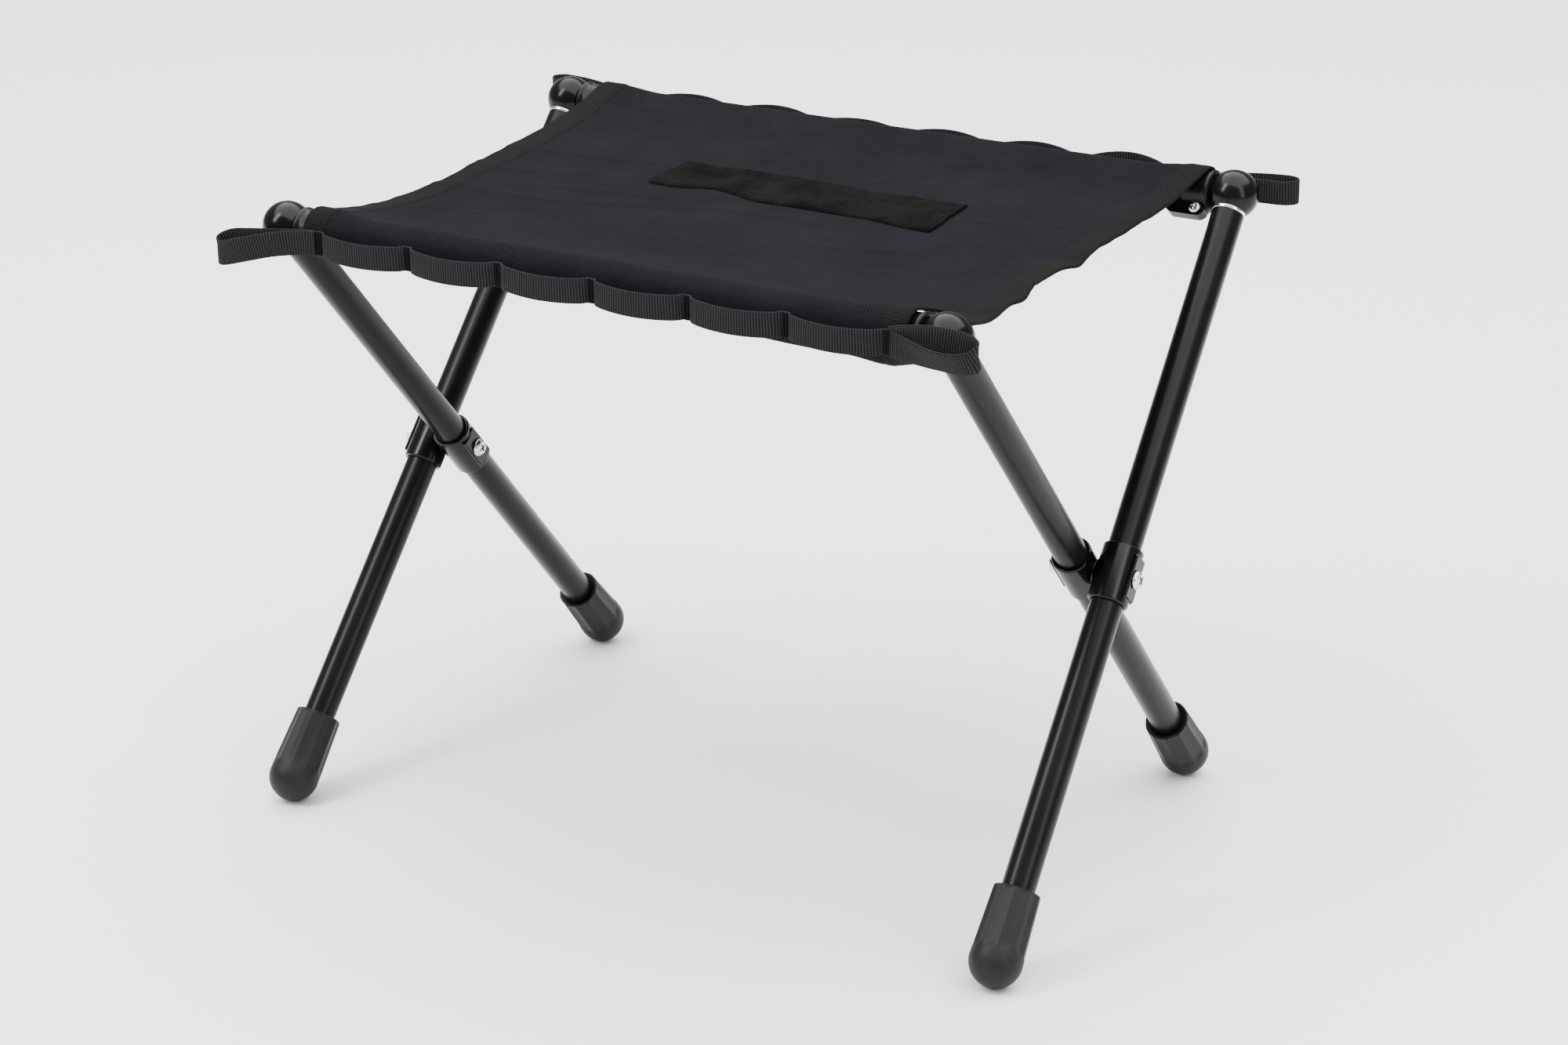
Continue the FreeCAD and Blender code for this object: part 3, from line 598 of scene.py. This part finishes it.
def pan_head(name, radius, height, place):
    """A domed screw head with a cross cut into it, on a short shank."""
    shank, shank_end = radius * 0.5, -5 * MM
    profile = rounded([(AXIS, shank_end), (shank, shank_end), (shank, 0), (radius * 0.96, 0),
                       (radius, height * 0.35), (radius * 0.72, height * 0.88), (AXIS, height)],
                      radius * 0.12)
    head = lathe(name, profile, place, STEEL, 48)
    arm, reach = radius * 0.13, radius * 0.56
    cross = [(arm, arm), (arm, reach), (-arm, reach), (-arm, arm), (-reach, arm), (-reach, -arm),
             (-arm, -arm), (-arm, -reach), (arm, -reach), (arm, -arm), (reach, -arm), (reach, arm)]
    cross_low = place @ Matrix.Translation((0, 0, height * 0.3))
    return carve(head, prism("cross", cross, height, cross_low, STEEL, SHARP, 1))


def build_hub(which, side):
    """A sleeve round the leg: flat towards its partner, a chamfered pad on the outside."""
    tag = "%s_%s" % (which, side)
    place = hub_place(which, side)
    out = SIDES[side] * FRAMES[which]
    half = HUB_LENGTH / 2
    bore, radius, flat = 8.05 * MM, 9.9 * MM, 8.85 * MM
    pad_low, pad_high, pad_length, pad_width = 8.1 * MM, 10.45 * MM, 22 * MM, 11 * MM
    upper = [(bore, half - 5 * MM), (bore, half - 0.5 * MM), (8.6 * MM, half), (9.3 * MM, half),
             (radius, half - 0.7 * MM)]
    lower = [(reach, -height) for reach, height in reversed(upper)]
    barrel = lathe("hub barrel", rounded(upper + lower, 0.25 * MM), place, HUB, 96)
    facing_in = place @ Matrix.Translation((-out * flat, 0, 0))
    facing_in = facing_in @ Matrix.Rotation(-out * math.pi / 2, 4, "Y")
    cutter_outline = rectangle(half * 1.5, radius * 1.2)
    carve(barrel, prism("flat", cutter_outline, radius, facing_in, HUB, SHARP, 1))
    facing_out = place @ Matrix.Translation((out * pad_low, 0, 0))
    facing_out = facing_out @ Matrix.Rotation(out * math.pi / 2, 4, "Y")
    pad = prism("pad", rectangle(pad_length / 2, pad_width / 2), pad_high - pad_low, facing_out,
                HUB, 0.8 * MM, 2)
    put(joined("hub sleeve " + tag, [barrel, pad]), which, "hub_sleeve_" + tag)


def build_pivot(side):
    """The bolt head and the nut on the hub's two outer pads, and the washer in its middle."""
    low, high = (Vector(corner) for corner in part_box("pivot_bolt_" + side))
    centre = (low + high) / 2
    along = Matrix.Rotation(math.pi / 2, 4, "Y")
    head_radius, head_height, cross_turn = 4.7 * MM, 3.0 * MM, math.radians(25)
    head_low = Matrix.Translation((high.x - head_height, centre.y, centre.z)) @ along
    turned = head_low @ Matrix.Rotation(cross_turn, 4, "Z")
    head = pan_head("pivot bolt " + side, head_radius, head_height, turned)
    put(head, "back", "pivot_bolt_" + side)
    nut_low = Matrix.Translation((low.x, centre.y, centre.z)) @ along
    nut_radius, nut_height = 4.6 * MM, 3.9 * MM
    turns = [math.radians(60 * k) for k in range(6)]
    hexagon = [(nut_radius * math.cos(a), nut_radius * math.sin(a)) for a in turns]
    nut = prism("nut block", hexagon, nut_height, nut_low, STEEL, 0.35 * MM, 3)
    bolt_radius, bolt_low, bolt_high = 2.4 * MM, -0.8 * MM, 3 * MM
    end = lathe("bolt end", rounded([(AXIS, bolt_low), (bolt_radius, bolt_low),
                                     (bolt_radius, bolt_high), (AXIS, bolt_high)], 0.4 * MM),
                nut_low, STEEL, 32)
    put(joined("pivot nut " + side, [nut, end]), "back", "pivot_nut_" + side)
    washer_low, washer_high = (Vector(corner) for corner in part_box("pivot_washer_" + side))
    thickness = washer_high.x - washer_low.x
    washer_place = Matrix.Translation((washer_low.x, centre.y, centre.z)) @ along
    inner, outer = 2.6 * MM, 6.5 * MM
    profile = rounded([(inner, 0), (outer, 0), (outer, thickness), (inner, thickness)],
                      0.2 * MM, 2)
    washer = lathe("pivot washer " + side, profile, washer_place, HUB, 48)
    put(washer, "back", "pivot_washer_" + side)


def build_foot(which, side):
    """A rubber cap: open rim, tapering ribbed shank, a soft shoulder, and a smooth dome."""
    tag = "%s_%s" % (which, side)
    place = leg_place(which, side)
    length = (ball_centre(which, side) - foot_centre(which, side)).length
    place = place @ Matrix.Translation((0, 0, -length))
    steps, ribs, top, top_radius = 180, 10, 34 * MM, 11.4 * MM
    shank_low, shank_steps, dome_steps = 3.5 * MM, 24, 24
    hollow_depth, sink = 0.55 * MM, 0.25 * MM

    def ring(height, radius, depth):
        """One cross-section, with shallow hollows between narrow ribs."""
        points = []
        for k in range(steps):
            turn = 2 * math.pi * k / steps
            wave = abs(math.cos(ribs * turn / 2))
            hollow = depth * (1 - wave ** 2) - depth * 0.55 * wave ** 40
            reach = radius - hollow
            points.append(place @ Vector((reach * math.cos(turn), reach * math.sin(turn), height)))
        return points

    def shank(height):
        """The shank's radius at that height."""
        return FOOT_RADIUS + (top_radius - FOOT_RADIUS) * height / top

    def bore(height):
        """A ring of the inner wall, just clear of the tube."""
        return ring(height, TUBE_RADIUS + 0.06 * MM, 0)

    rings = [bore(top - 8 * MM), bore(top - 1.6 * MM), ring(top - 0.9 * MM, 9.3 * MM, 0),
             ring(top, 10.2 * MM, 0), ring(top, 10.7 * MM, 0),
             ring(top - 0.3 * MM, 11.2 * MM, 0.1 * MM)]
    for k in range(shank_steps + 1):
        height = top - 0.9 * MM - (top - 4.4 * MM) * k / shank_steps
        fade = smoothstep(shank_low, shank_low + 3 * MM, height)
        rings.append(ring(height, shank(height) - sink * fade, hollow_depth * fade))
    shoulder = 1.2 * MM
    rings.append(ring(shoulder, shank(shoulder), 0))
    for k in range(1, dome_steps):
        turn = math.pi / 2 * k / dome_steps
        rings.append(ring(-FOOT_RADIUS * math.sin(turn), FOOT_RADIUS * math.cos(turn), 0))
    rings.append(ring(-FOOT_RADIUS, AXIS, 0))
    put(skin("foot " + tag, rings, RUBBER, caps=True, angle=50), which, "foot_" + tag)


# Seat cloth

WRAP = math.radians(22)  # from a rail's top to where the cloth leaves it for the seat
UNDER = math.radians(205)  # from a rail's top, round the outside, to the cloth's end
SAG = 14.5 * MM
PANEL_START, PANEL_END = 0.2, 0.8  # the shares of the cloth's run between the two rails
NEAR_WAVE, FAR_WAVE = 0.29, 0.545  # how far back, from 0 to 1, the right edge waves
_, FRONT_Y, RAIL_Z = rail_line("front")
_, BACK_Y, _ = rail_line("back")
RAIL_Y = {"front": FRONT_Y, "back": BACK_Y}
SLEEVE = {which: [corner[0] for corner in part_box("rail_sleeve_" + which)] for which in FRAMES}


def wrap_radius(which, x):
    """The cloth's radius round a rail: snug in the middle, wider over the collars."""
    snug, extra, widest, narrowest = 9.3 * MM, 1.9 * MM, 8 * MM, 34 * MM
    low, high = SLEEVE[which]
    return snug + extra * smoothstep(narrowest, widest, min(x - low, high - x))


def ripple(x, y):
    """The seat's soft unevenness: broad swells, and creases that run out of the corners."""
    broad, small, ridge, fold = 1.6 * MM, 0.8 * MM, 0.7 * MM, 0.9 * MM
    folds, fade = 9, 0.045
    lift = broad * drift(x * 15, y * 10, 0.3)
    lift += small * drift(x * 34 + 4, y * 24, 1.7)
    bend = x + 0.02 * drift(x * 9, y * 9, 4)
    crease = 1 - abs(drift(bend * 9 + y * 12, y * 30 - bend * 12, 2.2)) * 2.4
    lift += ridge * max(0, crease) ** 4
    for corner_x in (-0.165, 0.17):
        for corner_y in (-0.125, 0.125):
            across, up = x - corner_x, y - corner_y
            far = math.hypot(across, up)
            turn = math.atan2(up, across)
            fan = math.sin(turn * folds + corner_x * 20) * math.exp(-far / fade)
            lift += fold * fan * smoothstep(0.008, 0.03, far)
    return lift


def seat_edges(t):
    """The cloth's left and right edge at share t of the way from the front rail to the back."""
    left_flare, left_waist, left_wobble = 5.0 * MM, 2.0 * MM, 0.9 * MM
    right_flare, right_waist, right_wobble = 13.0 * MM, 4.5 * MM, 0.8 * MM
    near, far = 2.0 * MM, 2.6 * MM
    left, right = (front + (back - front) * t
                   for front, back in zip(SLEEVE["front"], SLEEVE["back"]))
    waist = 4 * t * (1 - t)
    left -= left_flare * smoothstep(0, 0.1, t) * smoothstep(0.5, 0.1, t)
    left += left_waist * waist + left_wobble * drift(t * 16, 3.1, 0)
    right += right_flare * smoothstep(0, 0.09, t) * smoothstep(0.6, 0.08, t)
    right -= right_waist * waist
    right += near * swell(t, NEAR_WAVE, 0.035) + far * swell(t, FAR_WAVE, 0.045)
    right += right_wobble * drift(t * 14, 7.9, 0)
    return left, right


def edge_droop(t):
    """How far the right edge hangs below the seat: behind its front corner, and at two waves."""
    corner, near, far = 5.5 * MM, 1.2 * MM, 2.2 * MM
    return (corner * smoothstep(0.03, 0.09, t) * smoothstep(0.32, 0.12, t)
            + near * swell(t, NEAR_WAVE, 0.035) + far * swell(t, FAR_WAVE, 0.04))


def round_rail(which, u, turn):
    """A point of the cloth round a rail: turn is 0 on top and grows round the outside. Under the
    front rail's right half the cloth hangs slack."""
    left, right = seat_edges(0 if which == "front" else 1)
    x = left + (right - left) * u
    radius = wrap_radius(which, x)
    if which == "front":
        slack = 4.5 * MM * smoothstep(math.radians(100), math.radians(175), turn)
        radius += slack * smoothstep(0.0, 0.12, x) * smoothstep(0.172, 0.145, x)
    y = RAIL_Y[which] + FRAMES[which] * radius * math.sin(turn)
    return Vector((x, y, RAIL_Z + radius * math.cos(turn)))


def seat_point(u, s):
    """A point of the cloth: u across from left to right, s from under the front rail, over it,
    across the seat, and over the back rail to its underside."""
    if s < PANEL_START:
        return round_rail("front", u, UNDER + (-WRAP - UNDER) * s / PANEL_START)
    if s > PANEL_END:
        return round_rail("back", u, -WRAP + (UNDER + WRAP) * (s - PANEL_END) / (1 - PANEL_END))
    left_rise, hump, hump_x, hump_y, hump_reach = 4.5 * MM, 2.5 * MM, 0.085, 0.065, 0.045
    flatness, hold, right_margin = 3.1, 0.6, 0.9
    t = (s - PANEL_START) / (PANEL_END - PANEL_START)
    left, right = seat_edges(t)
    x = left + (right - left) * u
    front, back = wrap_radius("front", x), wrap_radius("back", x)
    y_front = FRONT_Y + front * math.sin(WRAP)
    y_back = BACK_Y - back * math.sin(WRAP)
    y = y_front + (y_back - y_front) * t
    z = RAIL_Z + (front + (back - front) * t) * math.cos(WRAP)
    z -= SAG * (1 - abs(2 * t - 1) ** flatness)
    held = math.sin(math.pi * t) ** hold
    z += ripple(x, y) * held
    z -= edge_droop(t) * smoothstep(right_margin, 1.0, u)
    z += left_rise * (1 - u) ** 1.5 * smoothstep(-0.13, 0.03, y) * held
    away = (x - hump_x) ** 2 + (y - hump_y) ** 2
    z += hump * math.exp(-away / hump_reach ** 2) * held
    return Vector((x, y, z))


def seat_normal(u, s):
    """The cloth's outward normal."""
    step = 1e-3
    across = seat_point(min(1, u + step), s) - seat_point(max(0, u - step), s)
    along = seat_point(u, min(1, s + step)) - seat_point(u, max(0, s - step))
    return across.cross(along).normalized()


def blended(thing, *nodes):
    """A soft piece: its CAD nodes hidden and its placing baked into its mesh."""
    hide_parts(*nodes)
    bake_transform(thing)
    return thing


def thicken(thing, depth):
    """The sheet given its thickness for good, half of it on each side."""
    modifier = thing.modifiers.new("thickness", "SOLIDIFY")
    modifier.thickness = depth
    modifier.offset = 0
    graph = bpy.context.evaluated_depsgraph_get()
    thing.data = bpy.data.meshes.new_from_object(thing.evaluated_get(graph))
    thing.modifiers.clear()


def middle_length(rings):
    """How long the cloth's middle line is through those rings."""
    middle = [ring[len(ring) // 2] for ring in rings]
    return sum((b - a).length for a, b in zip(middle, middle[1:]))


def build_cloth():
    """The seat cloth from under one rail to under the other, its flat width, length and area."""
    across, wrap_steps, panel_steps, seam_gap = 150, 26, 130, 12 * MM
    panel = PANEL_END - PANEL_START
    shares = [PANEL_START * k / wrap_steps for k in range(wrap_steps)]
    shares += [PANEL_START + panel * k / panel_steps for k in range(panel_steps)]
    shares += [PANEL_END + (1 - PANEL_END) * k / wrap_steps for k in range(wrap_steps + 1)]
    rings = [[seat_point(k / across, s) for k in range(across + 1)] for s in shares]
    front_rail = rings[:wrap_steps + 1]
    front_and_panel = rings[:wrap_steps + panel_steps + 1]
    twill = cloth_material([middle_length(front_rail) + seam_gap,
                            middle_length(front_and_panel) - seam_gap])
    cloth = skin("seat cloth", rings, twill, closed=False)
    thicken(cloth, CLOTH)
    blended(cloth, "seat_panel", "rail_sleeve_front", "rail_sleeve_back")
    length = middle_length(rings)
    narrow, wide = (SLEEVE[which][1] - SLEEVE[which][0] for which in FRAMES)
    return cloth, wide, length, (wide + narrow) / 2 * length


def build_binding(side):
    """Tape folded over the cloth's side edge, top and underside."""
    u, inward = (0, 1) if side == "left" else (1, -1)
    width, lip, thick = 12.5 * MM, 0.8 * MM, 0.95 * MM
    upper = [(width, 0.62), (width * 0.75, 1.0), (width * 0.4, 0.95), (lip, 1.0),
             (-0.2 * MM, 0.75)]
    lower = [(reach, -lift) for reach, lift in reversed(upper)]
    section = upper + [(-0.6 * MM, 0.0)] + lower
    steps, start, span = 260, 0.02, 0.33
    rings = []
    for k in range(steps + 1):
        s = start + (1 - 2 * start) * k / steps
        edge = seat_point(u, s)
        inboard = (seat_point(u + 0.05 * inward, s) - edge).normalized()
        ring = []
        for reach, lift in section:
            share = min(1, max(0, u + reach / span * inward))
            here = seat_point(share, s) if reach > 0 else edge + inboard * reach
            pucker = 1 + 0.25 * drift(s * 70, reach * 300, u * 5)
            ring.append(here + seat_normal(share, s) * lift * thick * pucker)
        rings.append(ring)
    tape = skin("seat binding " + side, rings, TAPE, caps=True, angle=60)
    return blended(tape, "seat_binding_" + side)


def build_strip():
    """The fuzzy strip, lying on the seat and following its swells."""
    low, high = (Vector(corner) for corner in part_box("loop_strip"))
    low += Vector((4 * MM, 0, 0))
    high += Vector((5 * MM, 1 * MM, 0))
    across, along, tries, span = 110, 26, 12, 0.34
    under, over, pile = 0.35 * MM, 0.9 * MM, 1.0 * MM

    def place_on(x, y, lift):
        """The cloth's point over x and y, raised by lift."""
        t = u = 0.5
        for _ in range(tries):
            point = seat_point(u, PANEL_START + (PANEL_END - PANEL_START) * t)
            t += (y - point.y) / (BACK_Y - FRONT_Y)
            u += (x - point.x) / span
        return seat_point(u, PANEL_START + (PANEL_END - PANEL_START) * t) + Vector((0, 0, lift))

    def ring(x):
        """One cross-section: over the top and back along the underside."""
        points = []
        wave = 1.5 * MM * drift(x * 30, 0, 5)
        ragged = 0.5 * MM * drift(x * 700, 0, 9)
        front = low.y + 9 * MM * swell(x, -0.038, 0.017)
        back = high.y + 4 * MM * swell(x, -0.010, 0.035)
        for k in range(along + 1):
            y = front + (back - front) * k / along + wave
            y += ragged * abs(2 * k / along - 1) ** 8
            edge = smoothstep(0, 1.4 * MM, min(k, along - k) * (high.y - low.y) / along)
            tuft = 0.3 * MM * drift(x * 900, y * 900, 0)
            points.append(place_on(x, y, over + pile * edge + tuft))
        points += [place_on(x, p.y, under) for p in reversed(points)]
        return points

    rings = [ring(low.x + (high.x - low.x) * k / across) for k in range(across + 1)]
    strip = skin("loop strip", rings, PILE, caps=True, angle=70)
    return blended(strip, "loop_strip")


# Webbing

def ribbon(name, path, heights, material, width=WEB_WIDTH, depth=WEB):
    """A strap along a path, its width along the given direction at each point."""
    half, thick, last = width / 2, depth / 2, len(path) - 1
    section = ((-1, -0.35), (-0.93, -1), (-0.5, -1), (0, -1), (0.5, -1), (0.93, -1), (1, -0.35),
               (1, 0.35), (0.93, 1), (0.5, 1), (0, 1), (-0.5, 1), (-0.93, 1), (-1, 0.35))
    rings = []
    for k, (point, up) in enumerate(zip(path, heights)):
        forward = (path[min(last, k + 1)] - path[max(0, k - 1)]).normalized()
        rise = (up - forward * up.dot(forward)).normalized()
        out = forward.cross(rise)
        rings.append([point + rise * across * half + out * lift * thick
                      for across, lift in section])
    return skin(name, rings, material, caps=True, angle=60)


def web_line(which):
    """The webbing's middle x, its inner face's y and its mid height, from the frame."""
    low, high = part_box("webbing_" + which)
    inner = high[1] if which == "front" else low[1]
    return (low[0] + high[0]) / 2, inner, (low[2] + high[2]) / 2


def cell_path(which):
    """The daisy chain in plan: flat at each tack, swelling out between tacks."""
    middle, inner, height = web_line(which)
    out = FRAMES[which]
    steps, bulge, squareness = 26, 5.8 * MM, 0.45
    points = []
    for cell in range(CELLS):
        start = middle + (cell - CELLS / 2) * PITCH
        uneven = drift(cell * 3.7, out, 0)
        stand = bulge * (1 + 0.2 * uneven)
        lean = 0.9 * MM if which == "front" else -2.6 * MM * (1 + uneven)
        for k in range(steps):
            share = k / steps
            inside = min(1, max(0, (share * PITCH - TACK / 2) / (PITCH - TACK)))
            arch = math.sin(math.pi * inside)
            y = inner + out * (WEB / 2 + stand * arch ** squareness)
            points.append(Vector((start + share * PITCH, y, height - lean * arch)))
    points.insert(0, points[0] - Vector((TACK / 2, 0, 0)))
    points.append(Vector((middle + CELLS / 2 * PITCH, inner + out * WEB / 2, height)))
    points.append(points[-1] + Vector((TACK / 2, 0, 0)))
    return points


def build_webbing(which):
    """The daisy chain along a rail, and two rows of thread across it at each tack."""
    path = cell_path(which)
    strap = ribbon("webbing " + which, path, [Vector((0, 0, 1))] * len(path), STRAP)
    put(strap, which, "webbing_" + which)
    middle, inner, height = web_line(which)
    row_half, row_gap, row_width, row_depth = 5.6 * MM, 0.75 * MM, 1.15 * MM, 0.55 * MM
    y = inner + FRAMES[which] * (WEB + 0.15 * MM)
    shares = (-1, -0.5, 0, 0.5, 1)
    bars = []
    for k in range(CELLS + 1):
        x = middle + (k - CELLS / 2) * PITCH
        for shift in (-row_gap, row_gap):
            row = [Vector((x + shift, y, height + row_half * share)) for share in shares]
            bars.append(ribbon("tack bar", row, [Vector((1, 0, 0))] * len(row), THREAD,
                               row_width, row_depth))
    put(joined("bar tacks " + which, bars), which, "bar_tacks_" + which)


def loop_curve(points, steps=14):
    """A smooth curve through given points, each with its own strap direction."""
    path, ups = [], []
    count = len(points)
    for k in range(count - 1):
        around = [points[max(0, min(count - 1, k + shift))] for shift in (-1, 0, 1, 2)]
        for step in range(steps):
            t = step / steps
            weights = (-0.5 * t + t * t - 0.5 * t ** 3, 1 - 2.5 * t * t + 1.5 * t ** 3,
                       0.5 * t + 2 * t * t - 1.5 * t ** 3, -0.5 * t * t + 0.5 * t ** 3)
            path.append(sum((Vector(p[0]) * w for p, w in zip(around, weights)), Vector()))
            ups.append(sum((Vector(p[1]) * w for p, w in zip(around, weights)), Vector()))
    path.append(Vector(points[-1][0]))
    ups.append(Vector(points[-1][1]))
    return path, ups


def build_loop(which, side):
    """The strap's end loop: out past the ball, round, and back to the last tack."""
    tag = "%s_%s" % (which, side)
    low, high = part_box("webbing_loop_" + tag)
    sign, out = SIDES[side], FRAMES[which]
    root = low[0] if side == "right" else high[0]
    tip = high[0] if side == "right" else low[0]
    inner = high[1] if which == "front" else low[1]
    height = (low[2] + high[2]) / 2
    reach = abs(tip - root)
    droop = 9.5 if tag == "front_left" else -1.5

    def at(along, stand, drop=0.0, lean=0.0):
        """A point along the loop, how far it stands off and drops in mm, and the strap's lean."""
        spot = (root + sign * along * reach, inner + out * (WEB / 2 + stand * MM),
                height - drop * MM)
        return spot, (0, out * lean, 1)

    if tag == "front_right":
        points = [at(0.0, 0.1, -1.5), at(0.15, 1.8, -3.5, -0.1), at(0.45, 3.8, -6.0, -0.2),
                  at(0.78, 5.0, -6.0, -0.2), at(0.96, 7.8, -5.0), at(0.99, 10.5, -3.5, 0.2),
                  at(0.95, 12.6, -1.6, 0.4), at(0.8, 13.0, -0.2, 0.55), at(0.55, 10.5, 0.4, 0.55),
                  at(0.28, 5.5, 0.6, 0.3), at(0.06, 1.9, 0.3), at(0.0, 1.3, 0.2)]
    else:
        bow = [(0.0, 0.1), (0.15, 0.9), (0.4, 3.2), (0.7, 4.0), (0.88, 4.4), (0.965, 7.4),
               (0.965, 11.2), (0.88, 14.2), (0.66, 13.4), (0.4, 8.4), (0.16, 3.2), (0.03, 1.4),
               (0.0, 1.3)]
        points = [at(along, stand, droop * along ** 1.6 * (0.35 + 0.045 * stand))
                  for along, stand in bow]
    path, ups = loop_curve(points)
    put(ribbon("webbing loop " + tag, path, ups, STRAP), which, "webbing_loop_" + tag)


# The whole stool

for which in FRAMES:
    build_webbing(which)
    for side in SIDES:
        build_leg(which, side)
        build_ball(which, side)
        build_collar(which, side)
        build_hub(which, side)
        build_foot(which, side)
        build_loop(which, side)
    rail_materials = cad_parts["rail_" + which].data.materials
    rail_materials.clear()
    rail_materials.append(TUBE)
for side in SIDES:
    build_pivot(side)
cloth, cloth_width, cloth_length, cloth_area = build_cloth()
bindings = [build_binding(side) for side in SIDES]
strip = build_strip()


# Stage, light and camera

def area_light(name, place, target, size, power):
    """A rectangular light that faces its target."""
    lamp = bpy.data.lights.new(name, "AREA")
    lamp.shape = "RECTANGLE"
    lamp.size, lamp.size_y = size
    lamp.energy = power
    thing = bpy.data.objects.new(name, lamp)
    thing.location = place
    thing.rotation_euler = (Vector(target) - Vector(place)).to_track_quat("-Z", "Y").to_euler()
    bpy.context.scene.collection.objects.link(thing)
    return thing


def floor():
    """A wide pale floor, just under the feet."""
    reach = 6
    make = Nodes("pale floor")
    soft = make.noise(make.scaled("Object", 1, 1, 1), 3.0, 2)
    make.set(Base_Color=make.ramp(soft, (0.86, 0.86, 0.86), (0.88, 0.88, 0.88)), Roughness=0.6)
    mesh = bpy.data.meshes.new("floor")
    corners = [(x, y, 0) for x, y in rectangle(reach, reach)]
    mesh.from_pydata(corners, [], [(0, 1, 2, 3)])
    mesh.materials.append(make.material)
    ground = bpy.data.objects.new("floor", mesh)
    ground.location.z = -0.2 * MM
    bpy.context.scene.collection.objects.link(ground)
    return ground


def set_camera(azimuth, elevation, roll, distance, target, focal):
    """The scene's camera: azimuth 0 looks along +Y, and roll tips it about its own line."""
    a, e, r = (math.radians(x) for x in (azimuth, elevation, roll))
    back = Vector((math.sin(a) * math.cos(e), -math.cos(a) * math.cos(e), math.sin(e)))
    level = Vector((0, 0, 1)).cross(back).normalized()
    upright = back.cross(level)
    x = level * math.cos(r) + upright * math.sin(r)
    y = upright * math.cos(r) - level * math.sin(r)
    lens = bpy.data.cameras.new("camera")
    lens.lens = focal
    thing = bpy.data.objects.new("camera", lens)
    turn = Matrix((x, y, back)).transposed().to_4x4()
    thing.matrix_world = Matrix.Translation(Vector(target) + back * distance) @ turn
    bpy.context.scene.collection.objects.link(thing)
    bpy.context.scene.camera = thing


world = bpy.data.worlds.new("studio")
world.use_nodes = True
background = world.node_tree.nodes["Background"]
background.inputs["Color"].default_value = (1, 1, 1, 1)
background.inputs["Strength"].default_value = 0.5
bpy.context.scene.world = world
top = area_light("top", place=(0, 0.6, 3.4), target=(0, 0.3, 0), size=(6.5, 5.5), power=680)
key = area_light("key", place=(-1.1, -1.5, 1.9), target=(0, 0, 0.2), size=(0.5, 1.5), power=60)
fill = area_light("fill", place=(1.9, -0.7, 1.1), target=(0, 0, 0.2), size=(0.5, 1.6), power=20)
floor()
set_camera(azimuth=30.92, elevation=21.163, roll=-0.639, distance=1.8344,
           target=(-0.0060, 0.0370, 0.1332), focal=82.94)
